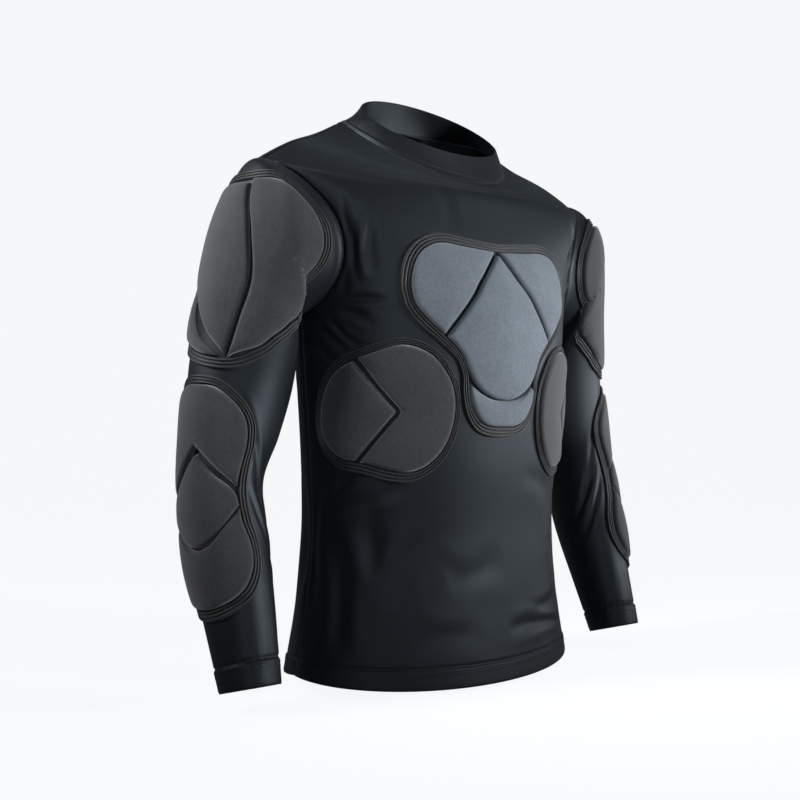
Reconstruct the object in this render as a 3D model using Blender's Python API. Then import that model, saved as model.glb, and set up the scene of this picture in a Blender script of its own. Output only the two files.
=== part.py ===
"""Padded long-sleeved compression shirt, filled out as when it is worn.

Metres, +Z up, front towards -Y. The origin is between the shoulders, at the height of the high points
where the neckline meets the shoulder seams. Tables are in millimetres.
"""

import math
from collections import namedtuple

import bmesh
import bpy
import numpy as np

# Driving sizes of the cloth
MM = 0.001
WALL = 1.6
TURNED_HEM = 0.9
HEM_DEPTH = 22.0
SEAM_GAP = 0.3
SLEEVE_GAP = 0.6

# The torso, one row for each section. "rise" runs 0 to 1 up the side seam, 1 to 2 round the armhole and
# 2 to 3 along the shoulder seam. Each row gives the centre front, the centre back and the edge between them.
Section = namedtuple("Section", "rise front_z front_y back_z back_y edge_x edge_y edge_z")
TORSO = [
    Section(0.00, -684, -122, -680, 128, 201, 4, -669),
    Section(0.20, -594, -115, -594, 121, 186, 4, -594),
    Section(0.40, -508, -115, -508, 115, 177, 5, -508),
    Section(0.60, -422, -125, -422, 113, 179, 5, -422),
    Section(0.80, -336, -133, -336, 114, 184, 6, -336),
    Section(1.00, -250, -135, -250, 116, 190, 7, -250),
    Section(1.25, -212, -127, -205, 116, 0, 0, 0),
    Section(1.50, -170, -116, -145, 112, 0, 0, 0),
    Section(1.75, -138, -107, -92, 104, 0, 0, 0),
    Section(2.00, -110, -100, -52, 94, 238, 20, -78),
    Section(2.33, -100, -93, -32, 87, 194, 21, -50),
    Section(2.67, -94, -87, -14, 81, 151, 30, -32),
    Section(3.00, -87, -82, 2, 76, 110, 38, -9),
]
ARMPIT = TORSO[5]
SHOULDER_TIP = TORSO[9]

# The armhole reaches this far forward and back, and hollows in by this much. A section meets it at the
# heading ARMHOLE_TURN, in degrees from straight across, and meets the side seam square.
ARMHOLE_FRONT_REACH = 77.0
ARMHOLE_BACK_REACH = 72.0
ARMHOLE_FRONT_HOLLOW = 35.0
ARMHOLE_BACK_HOLLOW = 14.0
ARMHOLE_TURN = 52.0

# Handle length of a cubic curve that rounds a quarter of an oval
ROUND = 0.5523

# The sleeve of the +X side. Each section is an oval between an outer and an inner point, with its own
# front-to-back half depth. "front_lift" raises its front edge, as the forearm swings forward.
Ring = namedtuple("Ring", "outer_x outer_z inner_x inner_z centre_y half_depth front_lift")
SLEEVE = [
    Ring(253, -82, 210, -268, 14, 72, 0),
    Ring(268, -114, 206, -280, 17, 70, 0),
    Ring(284, -161, 200, -296, 22, 67, 0),
    Ring(299, -232, 195, -318, 28, 63, 0),
    Ring(312, -314, 198, -352, 33, 58, 0),
    Ring(319, -390, 214, -398, 30, 52, 5),
    Ring(324, -454, 238, -451, 24, 50, 11),
    Ring(326, -523, 240, -516, 6, 47, 15),
    Ring(321, -595, 245, -589, -20, 39, 14),
    Ring(317, -663, 252, -663, -45, 32, 9),
]


def smooth(knots, values, at):
    """Values of a smooth curve through the table's rows, by cubic Hermite pieces."""
    knots = np.asarray(knots, float)
    values = np.asarray(values, float)
    at = np.clip(np.asarray(at, float), knots[0], knots[-1])
    slopes = np.gradient(values, knots, axis=0)
    low = np.clip(np.searchsorted(knots, at, side="right") - 1, 0, len(knots) - 2)
    span = knots[low + 1] - knots[low]
    t = (at - knots[low]) / span
    if values.ndim > 1:
        t = t[..., None]
        span = span[..., None]
    start = (2 * t**3 - 3 * t**2 + 1) * values[low] + (t**3 - 2 * t**2 + t) * span * slopes[low]
    end = (3 * t**2 - 2 * t**3) * values[low + 1] + (t**3 - t**2) * span * slopes[low + 1]
    return start + end


def armhole_point(turn, is_front):
    """A point of the armhole: turn 0 is the armpit, 1 is the shoulder tip."""
    pit = ARMPIT
    tip = SHOULDER_TIP
    angle = math.pi * np.asarray(turn, float)
    share = (1 - np.cos(angle)) / 2
    reach = -ARMHOLE_FRONT_REACH if is_front else ARMHOLE_BACK_REACH
    hollow = ARMHOLE_FRONT_HOLLOW if is_front else ARMHOLE_BACK_HOLLOW
    x = pit.edge_x + (tip.edge_x - pit.edge_x) * share - hollow * np.sin(angle) ** 2
    y = pit.edge_y + (tip.edge_y - pit.edge_y) * share + reach * np.sin(angle)
    z = pit.edge_z + (tip.edge_z - pit.edge_z) * share
    return np.stack([x, y, z], axis=-1)


def torso_edge(rise, is_front):
    """The panel's edge at each rise, and the heading in degrees with which a section meets it."""
    rise = np.asarray(rise, float)
    side = [s for s in TORSO if s.rise <= 1]
    shoulder = [s for s in TORSO if s.rise >= 2]
    below = smooth([s.rise for s in side], [s[5:] for s in side], rise)
    above = smooth([s.rise for s in shoulder], [s[5:] for s in shoulder], rise)
    around = armhole_point(np.clip(rise - 1, 0, 1), is_front)
    edge = np.where((rise < 1)[..., None], below, np.where((rise > 2)[..., None], above, around))
    heading = 90 - (90 - ARMHOLE_TURN) * np.sin(math.pi * np.clip(rise - 1, 0, 1))
    return edge, heading


def torso_point(rise, across, is_front):
    """Outer skin of a panel. across runs from -1 at one edge to 1 at the other, by arc length."""
    rise, across = np.broadcast_arrays(np.asarray(rise, float), np.asarray(across, float))
    shape = rise.shape
    rise = rise.ravel()
    across = across.ravel()
    columns = slice(1, 3) if is_front else slice(3, 5)
    centre = smooth([s.rise for s in TORSO], [s[columns] for s in TORSO], rise)
    edge, heading = torso_edge(rise, is_front)
    control = section_controls(centre, edge, heading)
    t = by_arc_length(control, np.abs(across))
    point = bezier(control, t)
    point[:, 0] *= np.sign(across)
    return point.reshape(shape + (3,))


def section_controls(centre, edge, heading):
    """Four control points in plan for half a section, and the heights at its two ends."""
    depth = edge[:, 1] - centre[:, 1]
    angle = np.radians(heading)
    handle = ROUND * np.abs(depth) / np.sin(angle)
    toward = np.sign(depth)
    flat = np.zeros((len(centre), 4, 3))
    flat[:, 0, 1] = centre[:, 1]
    flat[:, 1, 0] = ROUND * edge[:, 0]
    flat[:, 1, 1] = centre[:, 1]
    flat[:, 2, 0] = edge[:, 0] - handle * np.cos(angle)
    flat[:, 2, 1] = edge[:, 1] - handle * np.sin(angle) * toward
    flat[:, 3, :2] = edge[:, :2]
    climb = (flat[:, :, 1] - centre[:, 1:2]) / np.where(depth == 0, 1, depth)[:, None]
    flat[:, :, 2] = centre[:, 0:1] + (edge[:, 2:3] - centre[:, 0:1]) * climb
    return flat


def bezier(control, t):
    """Points of cubic curves, one for each row of control points."""
    t = t[..., None]
    a, b, c, d = (control[:, i] for i in range(4))
    return a * (1 - t) ** 3 + 3 * b * t * (1 - t) ** 2 + 3 * c * t**2 * (1 - t) + d * t**3


def by_arc_length(control, share):
    """The curve parameter at each share of the arc length."""
    samples = np.linspace(0, 1, 25)
    line = np.stack([bezier(control, np.full(len(control), s)) for s in samples], axis=1)
    steps = np.linalg.norm(np.diff(line, axis=1), axis=2)
    long = np.concatenate([np.zeros((len(control), 1)), np.cumsum(steps, axis=1)], axis=1)
    aim = share * long[:, -1]
    low = np.clip((long < aim[:, None]).sum(axis=1) - 1, 0, len(samples) - 2)
    rows = np.arange(len(control))
    part = (aim - long[rows, low]) / np.maximum(long[rows, low + 1] - long[rows, low], 1e-9)
    return samples[low] + part * (samples[1] - samples[0])


def armhole_loop(angle):
    """The armhole by angle round the sleeve: 0 at the tip, a quarter turn in front, a half at the armpit."""
    angle = np.mod(np.asarray(angle, float), 2 * math.pi)
    front = armhole_point(1 - angle / math.pi, True)
    back = armhole_point(angle / math.pi - 1, False)
    return np.where((angle <= math.pi)[..., None], front, back)


def sleeve_ring(ring, angle):
    """One oval of the sleeve table."""
    outer = np.array([ring.outer_x, ring.centre_y, ring.outer_z], float)
    inner = np.array([ring.inner_x, ring.centre_y, ring.inner_z], float)
    middle = (outer + inner) / 2
    front = np.array([0, -ring.half_depth, ring.front_lift], float)
    return middle + np.cos(angle)[..., None] * (outer - middle) + np.sin(angle)[..., None] * front


def sleeve_point(along, angle):
    """Outer skin of the +X sleeve. along runs from 0 at the armhole to 1 at the cuff."""
    along, angle = np.broadcast_arrays(np.asarray(along, float), np.asarray(angle, float))
    stack = np.stack([armhole_loop(angle)] + [sleeve_ring(r, angle) for r in SLEEVE])
    knots = np.linspace(0, 1, len(stack))
    shape = along.shape
    flat_along = along.ravel()
    flat_stack = stack.reshape(len(stack), -1, 3)
    slopes = np.gradient(flat_stack, knots, axis=0)
    low = np.clip((flat_along * (len(knots) - 1)).astype(int), 0, len(knots) - 2)
    span = knots[1]
    t = ((flat_along - knots[low]) / span)[:, None]
    pick = np.arange(len(flat_along))
    above = flat_stack[low, pick]
    below = flat_stack[low + 1, pick]
    start = (2 * t**3 - 3 * t**2 + 1) * above + (t**3 - 2 * t**2 + t) * span * slopes[low, pick]
    end = (3 * t**2 - 2 * t**3) * below + (t**3 - t**2) * span * slopes[low + 1, pick]
    return (start + end).reshape(shape + (3,))


def half_girth(rise, is_front):
    """Length of half a section, from the centre line to the edge."""
    steps = np.linspace(0, 1, 17)
    rise = np.atleast_1d(np.asarray(rise, float))
    line = torso_point(rise[:, None], steps[None, :], is_front)
    return np.linalg.norm(np.diff(line, axis=1), axis=2).sum(axis=1)


def on_torso(around, height, is_front=True):
    """Panel coordinates of points given by millimetres from the centre line and by height."""
    around, height = np.broadcast_arrays(np.asarray(around, float), np.asarray(height, float))
    table = np.linspace(0, 3, 121)
    girths = half_girth(table, is_front)
    low = np.zeros(around.size)
    high = np.full(around.size, 3.0)
    for _ in range(24):
        rise = (low + high) / 2
        across = around.ravel() / np.interp(rise, table, girths)
        z = torso_point(rise, np.clip(across, -1, 1), is_front)[:, 2]
        below = z < height.ravel()
        low = np.where(below, rise, low)
        high = np.where(below, high, rise)
    across = around.ravel() / np.interp(rise, table, girths)
    return rise.reshape(around.shape), across.reshape(around.shape)


SLEEVE_TURNS = np.radians(np.arange(-180, 181, 5))
SLEEVE_STATIONS = np.linspace(0, 1, 81)


def sleeve_lengths():
    """Lengths down each line of the sleeve from the armhole, and the girth at each station."""
    grid = sleeve_point(SLEEVE_STATIONS[None, :], SLEEVE_TURNS[:, None])
    steps = np.linalg.norm(np.diff(grid, axis=1), axis=2)
    lengths = np.concatenate([np.zeros((len(grid), 1)), np.cumsum(steps, axis=1)], axis=1)
    girths = np.linalg.norm(np.diff(grid, axis=0), axis=2).sum(axis=0)
    return lengths, girths


def on_sleeve(around, down):
    """Sleeve coordinates of points given forward of the outer line and below the armhole."""
    around, down = np.broadcast_arrays(np.asarray(around, float), np.asarray(down, float))
    lengths, girths = sleeve_lengths()
    flat_around = around.ravel()
    flat_down = down.ravel()
    along = np.full(around.size, 0.4)
    for _ in range(12):
        angle = 2 * math.pi * flat_around / np.interp(along, SLEEVE_STATIONS, girths)
        place = (angle - SLEEVE_TURNS[0]) / (SLEEVE_TURNS[1] - SLEEVE_TURNS[0])
        low = np.clip(place.astype(int), 0, len(SLEEVE_TURNS) - 2)
        share = (place - low)[:, None]
        line = lengths[low] * (1 - share) + lengths[low + 1] * share
        aim = np.array([np.interp(d, row, SLEEVE_STATIONS) for d, row in zip(flat_down, line)])
        along = (along + aim) / 2
    return along.reshape(around.shape), angle.reshape(around.shape)


def down_the_arm(around, down):
    """Sleeve coordinates of points given forward of the outer line and by the length down that line."""
    around, down = np.broadcast_arrays(np.asarray(around, float), np.asarray(down, float))
    lengths, girths = sleeve_lengths()
    along = np.interp(down, lengths[len(SLEEVE_TURNS) // 2], SLEEVE_STATIONS)
    return along, 2 * math.pi * around / np.interp(along, SLEEVE_STATIONS, girths)


# Step of the slopes that give a surface's facing, and the rim inside which they are taken
SLOPE_STEP = 0.004
SLOPE_RIM = 0.01


def facing(surface, first, second, step=SLOPE_STEP):
    """Unit vectors that point out of a surface of two coordinates, away from the garment's hollow."""
    along_first = surface(first + step, second) - surface(first - step, second)
    along_second = surface(first, second + step) - surface(first, second - step)
    normal = np.cross(along_second, along_first)
    return normal / np.maximum(np.linalg.norm(normal, axis=-1, keepdims=True), 1e-9)


def torso_skin(rise, across, out, is_front=True):
    """Points of a panel moved out by the given distances."""
    rise, across = np.broadcast_arrays(np.asarray(rise, float), np.asarray(across, float))
    inner_rise = np.clip(rise, 2 * SLOPE_RIM, 3 - 2 * SLOPE_RIM)
    inner_across = np.clip(across, SLOPE_STEP - 1, 1 - SLOPE_STEP)
    normal = facing(lambda r, a: torso_point(r, a, is_front), inner_rise, inner_across)
    sign = 1 if is_front else -1
    return torso_point(rise, across, is_front) + sign * normal * np.asarray(out, float)[..., None]


def sleeve_skin(along, angle, out):
    """Points of the +X sleeve moved out by the given distances."""
    along, angle = np.broadcast_arrays(np.asarray(along, float), np.asarray(angle, float))
    normal = facing(sleeve_point, np.clip(along, SLOPE_RIM, 1 - SLOPE_RIM), angle)
    return sleeve_point(along, angle) + normal * np.asarray(out, float)[..., None]


# Pads stand off the cloth by a bed, which clears its flat faces. It is deeper where the cloth turns tightly.
# A groove parts two cells, and a gap parts them from their border.
PAD_THICK = 8.0
GROOVE = 2.2
BORDER_GAP = 2.2
CHEST_BED = 1.4
CHEST_TRIM_BED = 0.8
RIB_BED = 0.7
FOREARM_TRIM_BED = 2.3
SHOULDER_TRIM_BED = 1.7
SHOULDER_BEDS = {"front": 2.3, "middle": 1.1, "back": 1.6}
FOREARM_BEDS = {"upper": 2.3, "middle": 1.6, "lower": 1.6}
BORDER_HIGH = 3.4
CELL_STATION_STEP = 18.5
CELL_RING_STEP = 24.0
LEAST_CELL_STATIONS = 18
BORDER_STATIONS = 40
BAND_PROBE = 6.0

# Outlines on the cloth: "side" is measured from the centre line or the sleeve's outer line, and "level" is a
# height on the body or a length down the sleeve. "band" is the width of the corded border there.
Edge = namedtuple("Edge", "side level band")

CHEST_HALF = [
    Edge(0, -178, 11), Edge(45, -175, 11), Edge(84, -173, 11), Edge(104, -184, 12), Edge(116, -207, 12),
    Edge(117, -240, 11), Edge(101, -261, 11), Edge(80, -280, 9), Edge(59, -302, 7), Edge(51, -322, 7),
    Edge(49, -342, 8), Edge(43, -363, 9), Edge(29, -379, 11), Edge(0, -383, 12),
]
CHEST_CELLS = {
    "upper": [(2, -178), (45, -175), (84, -173), (104, -184), (116, -207), (117, -240), (101, -261),
              (81, -279)],
    "middle_half": [(0, -180), (79, -280), (59, -302), (51, -320), (43, -333), (23, -348), (0, -352)],
    "lower_half": [(0, -352), (23, -348), (47, -335), (49, -342), (43, -363), (29, -379), (0, -383)],
}
RIB = [
    Edge(65, -367, 6), Edge(68, -338, 6), Edge(79, -317, 6), Edge(94, -301, 7), Edge(112, -292, 7),
    Edge(130, -289, 7), Edge(148, -293, 8), Edge(168, -300, 8), Edge(186, -307, 9), Edge(202, -316, 9),
    Edge(215, -332, 9), Edge(223, -362, 9), Edge(219, -392, 9), Edge(205, -411, 10), Edge(190, -420, 11),
    Edge(172, -423, 12), Edge(155, -427, 12), Edge(137, -432, 12), Edge(115, -434, 11), Edge(99, -429, 9),
    Edge(83, -416, 8), Edge(72, -398, 7),
]
RIB_CELLS = {
    "outer": [(184, -307), (202, -316), (215, -332), (223, -362), (219, -392), (205, -411), (190, -420),
              (176, -422), (148, -386), (132, -365), (156, -338)],
    "inner": [(180, -304), (153, -338), (128, -365), (145, -386), (172, -423), (155, -427), (137, -432),
              (115, -434), (99, -429), (83, -416), (72, -398), (65, -367), (68, -338), (79, -317), (94, -301),
              (112, -292), (130, -289), (148, -293), (168, -300)],
}
SHOULDER = [
    Edge(22, 44, 10), Edge(60, 37, 10), Edge(92, 30, 10), Edge(125, 24, 10), Edge(150, 28, 10),
    Edge(168, 42, 10), Edge(171, 64, 10), Edge(158, 92, 11), Edge(136, 121, 12), Edge(106, 162, 12),
    Edge(78, 206, 12), Edge(48, 240, 12), Edge(20, 246, 12), Edge(-8, 238, 12), Edge(-38, 212, 12),
    Edge(-66, 170, 11), Edge(-90, 120, 11), Edge(-100, 80, 10), Edge(-88, 50, 10), Edge(-58, 42, 10),
    Edge(-20, 44, 10),
]
SHOULDER_CELLS = {
    "front": [(34, 42), (60, 38), (92, 32), (125, 26), (147, 32), (158, 48), (159, 66), (147, 88),
              (130, 119), (103, 160), (78, 204), (47, 241), (56, 190), (65, 140), (54, 98), (40, 68)],
    "middle": [(31, 47), (38, 68), (52, 98), (62, 140), (54, 190), (45, 240), (18, 220), (-18, 170),
               (-34, 140), (-40, 100), (-34, 66), (-25, 48)],
    "back": [(-29, 44), (-42, 66), (-50, 100), (-47, 140), (-30, 178), (9, 227), (38, 243), (20, 246),
             (-8, 237), (-37, 211), (-63, 169), (-87, 119), (-96, 80), (-85, 53), (-58, 45)],
}
FOREARM = [
    Edge(18, 279, 10), Edge(40, 281, 10), Edge(60, 296, 10), Edge(72, 318, 9), Edge(74, 350, 9),
    Edge(69, 382, 10), Edge(65, 412, 11), Edge(67, 445, 11), Edge(73, 478, 10), Edge(69, 502, 10),
    Edge(52, 524, 11), Edge(18, 534, 12), Edge(-16, 524, 11), Edge(-33, 502, 10), Edge(-37, 478, 10),
    Edge(-31, 445, 11), Edge(-29, 412, 11), Edge(-33, 382, 10), Edge(-38, 350, 9), Edge(-36, 318, 9),
    Edge(-24, 296, 10), Edge(-4, 281, 10),
]
FOREARM_CELLS = {
    "upper": [(18, 279), (40, 281), (60, 296), (72, 318), (74, 350), (69, 382), (64, 406), (42, 382),
              (18, 352), (-6, 382), (-28, 406), (-33, 382), (-38, 350), (-36, 318), (-24, 296), (-4, 281)],
    "middle": [(18, 358), (40, 386), (62, 412), (66, 428), (46, 450), (30, 464), (18, 467), (6, 464),
               (-10, 450), (-30, 428), (-26, 412), (-4, 386)],
    "lower": [(-30, 430), (-10, 450), (6, 464), (18, 467), (30, 464), (46, 450), (66, 430), (67, 445),
              (73, 478), (69, 502), (52, 524), (18, 534), (-16, 524), (-33, 502), (-37, 478), (-31, 445)],
}


def rounded(points, reaches=(6.0, 2.4), most=0.3):
    """A closed outline with its corners cut back by each reach in turn, at most by a share of a side."""
    points = np.asarray(points, float)
    for reach in reaches:
        after = np.roll(points, -1, axis=0)
        length = np.linalg.norm((after - points)[:, :2], axis=1, keepdims=True)
        share = np.minimum(reach / length, most)
        points = np.stack([points + (after - points) * share, after + (points - after) * share], axis=1)
        points = points.reshape(-1, points.shape[2])
    return points


def evenly(points, count):
    """A closed outline shared out into stations of equal length. Columns past the second ride along."""
    closed = np.vstack([points, points[:1]])
    length = np.concatenate([[0], np.cumsum(np.linalg.norm(np.diff(closed[:, :2], axis=0), axis=1))])
    at = np.linspace(0, length[-1], count + 1)[:-1]
    return np.stack([np.interp(at, length, closed[:, k]) for k in range(points.shape[1])], axis=1)


def outward(points):
    """Unit vectors square to a closed outline, pointing away from its inside."""
    tangent = np.roll(points, -1, axis=0) - np.roll(points, 1, axis=0)
    normal = np.stack([tangent[:, 1], -tangent[:, 0]], axis=1)
    normal /= np.linalg.norm(normal, axis=1, keepdims=True)
    after = np.roll(points, -1, axis=0)
    area = (points[:, 0] * after[:, 1] - after[:, 0] * points[:, 1]).sum()
    return normal * np.sign(area)


# A cell is drawn in towards its middle. A hollow cell has a chosen middle, and a long bent one a guide line.
CHEST_LOWER_MIDDLE = (0, -369)
FOREARM_LOWER_MIDDLE = (18, 486)
SHOULDER_BACK_SPINE = [(-57, 38), (-71, 85), (-66, 130), (-47, 176), (-12, 218), (42, 248)]
SPINE_STEPS = 900


def spine_frame(spine):
    """Close points on a bent guide line, their unit vectors to its left, and the lengths along it."""
    line = smooth(np.linspace(0, 1, len(spine)), spine, np.linspace(0, 1, SPINE_STEPS))
    ahead = np.gradient(line, axis=0)
    ahead /= np.linalg.norm(ahead, axis=1, keepdims=True)
    left = np.stack([-ahead[:, 1], ahead[:, 0]], axis=1)
    length = np.concatenate([[0], np.cumsum(np.linalg.norm(np.diff(line, axis=0), axis=1))])
    return line, left, length


def straightened(points, spine):
    """Flat points given instead by the length along a guide line and the distance left of it."""
    line, left, length = spine_frame(spine)
    nearest = np.linalg.norm(points[:, None] - line[None], axis=2).argmin(axis=1)
    beside = ((points - line[nearest]) * left[nearest]).sum(axis=1)
    return np.stack([length[nearest], beside], axis=1)


def bent_back(points, spine):
    """The flat points of lengths along a guide line and distances left of it."""
    line, left, length = spine_frame(spine)
    foot = np.stack([np.interp(points[:, 0], length, line[:, k]) for k in (0, 1)], axis=1)
    side = np.stack([np.interp(points[:, 0], length, left[:, k]) for k in (0, 1)], axis=1)
    return foot + side * points[:, 1:]


def both_halves(half):
    """An outline made whole from the half on the +X side."""
    mirrored = [(-p[0],) + tuple(p[1:]) for p in reversed(half) if p[0] > 0.5]
    return [tuple(p) for p in half] + mirrored


# Meshes


def clear_scene():
    for item in list(bpy.data.objects):
        bpy.data.objects.remove(item, do_unlink=True)


def material(name, color, roughness):
    made = bpy.data.materials.new(name)
    made.use_nodes = True
    shader = made.node_tree.nodes["Principled BSDF"]
    shader.inputs["Base Color"].default_value = (*color, 1)
    shader.inputs["Roughness"].default_value = roughness
    shader.inputs["Metallic"].default_value = 0.0
    made.diffuse_color = (*color, 1)
    return made


def mapped_grid(bm, points):
    """A grid of faces whose corners are points[row, column], in millimetres."""
    rows, columns = points.shape[:2]
    made = bmesh.ops.create_grid(bm, x_segments=columns - 1, y_segments=rows - 1, size=1)["verts"]
    for vert in made:
        column = round((vert.co.x + 1) / 2 * (columns - 1))
        row = round((vert.co.y + 1) / 2 * (rows - 1))
        vert.co = points[row, column] * MM
    return made


def finish(bm, name, look):
    """Turn a closed form into a named object with its own material."""
    bmesh.ops.remove_doubles(bm, verts=bm.verts, dist=0.00001)
    bmesh.ops.recalc_face_normals(bm, faces=bm.faces)
    mesh = bpy.data.meshes.new(name)
    bm.to_mesh(mesh)
    bm.free()
    mesh.shade_smooth()
    mesh.set_sharp_from_angle(angle=math.radians(40))
    made = bpy.data.objects.new(name, mesh)
    made.data.materials.append(material(name, *look))
    bpy.context.scene.collection.objects.link(made)
    return made


def ring_solid(name, points, look):
    """A solid ring: points[station, profile], closed both ways."""
    points = np.concatenate([points, points[:1]], axis=0)
    points = np.concatenate([points, points[:, :1]], axis=1)
    bm = bmesh.new()
    mapped_grid(bm, points)
    return finish(bm, name, look)


def wall(name, outer, inner, look):
    """A wall between two sheets of points that match one for one."""
    bm = bmesh.new()
    mapped_grid(bm, outer)
    mapped_grid(bm, inner)
    rims = [edge for edge in bm.edges if edge.is_boundary]
    bmesh.ops.bridge_loops(bm, edges=rims)
    return finish(bm, name, look)


def pillow(name, rings, look):
    """A closed cushion: rings[row, station] from the bottom's middle to the top's middle."""
    points = np.concatenate([rings, rings[:, :1]], axis=1)
    bm = bmesh.new()
    mapped_grid(bm, points)
    return finish(bm, name, look)


BLACK_KNIT = ((0.012, 0.013, 0.016), 0.45)
CHEST_FOAM = ((0.120, 0.140, 0.165), 0.75)
DARK_FOAM = ((0.045, 0.048, 0.054), 0.8)
CORDED = ((0.020, 0.021, 0.024), 0.6)

PANEL_COLUMNS = 15
ARMHOLE_ROWS = 10
SIDE_ROWS = 9
SHOULDER_ROWS = 4
HEM_STEP = 0.004


def panel(name, is_front):
    """The front or the back, from the hem to the neckline, with its turned hem."""
    hem_share = HEM_DEPTH / (ARMPIT.edge_z - TORSO[0].front_z)
    rises = np.concatenate([
        [0, hem_share - HEM_STEP, hem_share],
        np.linspace(hem_share, 1, SIDE_ROWS + 1)[1:],
        np.linspace(1, 2, ARMHOLE_ROWS + 1)[1:],
        np.linspace(2, 3, SHOULDER_ROWS + 1)[1:],
    ])
    across = np.linspace(-1, 1, PANEL_COLUMNS)
    rise, side = np.meshgrid(rises, across, indexing="ij")
    half = half_girth(rises, is_front)[:, None]
    raised = np.where(rise < hem_share - HEM_STEP / 2, TURNED_HEM, 0.0)
    outer = torso_skin(rise, side * (1 - SEAM_GAP / 2 / half), raised, is_front)
    inner_side = side * (1 - (SEAM_GAP / 2 + WALL) / half)
    inner = torso_skin(rise, inner_side, np.full(rise.shape, -WALL), is_front)
    return wall(name, outer, inner, BLACK_KNIT)


NEAR_ARMHOLE = [0, 0.02, 0.045, 0.075, 0.11, 0.14, 0.175, 0.215, 0.26]
DOWN_THE_SLEEVE = np.linspace(0.32, 0.94, 9)
CUFF_STEP = 0.003
BEVEL = 1.4


def sleeve(name, mirror):
    """A sleeve from the armhole to the turned cuff."""
    lengths, _ = sleeve_lengths()
    cuff_share = 1 - HEM_DEPTH / lengths[len(SLEEVE_TURNS) // 2, -1]
    cuff = [cuff_share - CUFF_STEP, cuff_share + CUFF_STEP, 1]
    along = np.concatenate([NEAR_ARMHOLE, DOWN_THE_SLEEVE, cuff])
    angle = np.linspace(0, 2 * math.pi, 2 * ARMHOLE_ROWS + 1)[:-1]
    down, turn = np.meshgrid(along, angle, indexing="ij")
    wrapped = (angle + math.pi) % (2 * math.pi) - math.pi

    def first_ring(distance):
        shares = [np.interp(distance, line, SLEEVE_STATIONS) for line in lengths]
        return np.interp(wrapped, SLEEVE_TURNS, shares)

    down[0] = first_ring(SLEEVE_GAP)
    inner_down = down.copy()
    inner_down[0] = first_ring(SLEEVE_GAP + BEVEL * WALL)
    raised = np.where(down > cuff_share, TURNED_HEM, 0.0)
    outer = sleeve_skin(down, turn, raised)
    inner = sleeve_skin(inner_down, turn, np.full(down.shape, -WALL))
    profile = np.concatenate([outer, inner[::-1]]).transpose(1, 0, 2) * [mirror, 1, 1]
    return ring_solid(name, profile, BLACK_KNIT)


# The neckband's rim is an oval, tilted so that its back stands higher than its front
COLLAR_HALF_WIDTH = 96.0
COLLAR_HALF_DEPTH = 66.0
COLLAR_MIDDLE_Y = 6.0
COLLAR_MIDDLE_Z = -8.0
COLLAR_TILT = 45.0
COLLAR_WALL = 2.2
COLLAR_STATIONS = 28
COLLAR_ROWS = [0.012, 0.5, 0.97, 1.0]
COLLAR_FLATTER = 0.7


def collar_point(up, turn):
    """The neckband: up 0 is its seam, 1 its rim; turn 0 is the front, half a turn is the back."""
    turn = np.mod(turn, 2 * math.pi)
    across_front = np.where(turn <= math.pi, turn, turn - 2 * math.pi) / (math.pi / 2)
    across_back = (math.pi - turn) / (math.pi / 2)
    front = torso_point(np.full(turn.shape, 3.0), np.clip(across_front, -1, 1), True)
    back = torso_point(np.full(turn.shape, 3.0), np.clip(across_back, -1, 1), False)
    seam = np.where((np.abs(across_front) <= 1)[..., None], front, back)
    rim = np.stack([
        COLLAR_HALF_WIDTH * np.sin(turn),
        COLLAR_MIDDLE_Y - COLLAR_HALF_DEPTH * np.cos(turn),
        COLLAR_MIDDLE_Z - COLLAR_TILT * np.cos(turn),
    ], axis=-1)
    return seam + (rim - seam) * np.asarray(up, float)[..., None]


def collar():
    """The neckband, a folded band that stands up from the neckline."""
    turn = np.linspace(0, 2 * math.pi, COLLAR_STATIONS + 1)[:-1]
    height, around = np.meshgrid(COLLAR_ROWS, turn, indexing="ij")
    outer = collar_point(height, around)
    flat = np.zeros(around.shape)
    toward = np.stack([-np.sin(around), COLLAR_FLATTER * np.cos(around), flat], axis=-1)
    toward /= np.linalg.norm(toward, axis=-1, keepdims=True)
    inner = outer + toward * COLLAR_WALL
    profile = np.concatenate([outer, inner[::-1]]).transpose(1, 0, 2)
    return ring_solid("collar", profile, BLACK_KNIT)


ON_BODY = (on_torso, torso_skin)
ON_UPPER_ARM = (on_sleeve, sleeve_skin)
ON_FOREARM = (down_the_arm, sleeve_skin)


def laid(cloth, points, out, mirror=1):
    """Flat pad points laid on the cloth and moved out from it."""
    chart, skin = cloth
    first, second = chart(points[..., 0], points[..., 1])
    return skin(first, second, out) * [mirror, 1, 1]


# Profiles as (reach, height) shares: a cell's rounded shoulder and low crown, and a border's two cords
CELL_SHOULDER = [(1.0, 0.62), (0.955, 0.9), (0.84, 1.0)]
CELL_CROWN = [(0.45, 1.04), (0.0, 1.05)]
TWO_CORDS = [(0.0, 0.0), (0.08, 0.9), (0.36, 0.55), (0.62, 1.0), (0.92, 0.6), (1.0, 0.0)]


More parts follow.
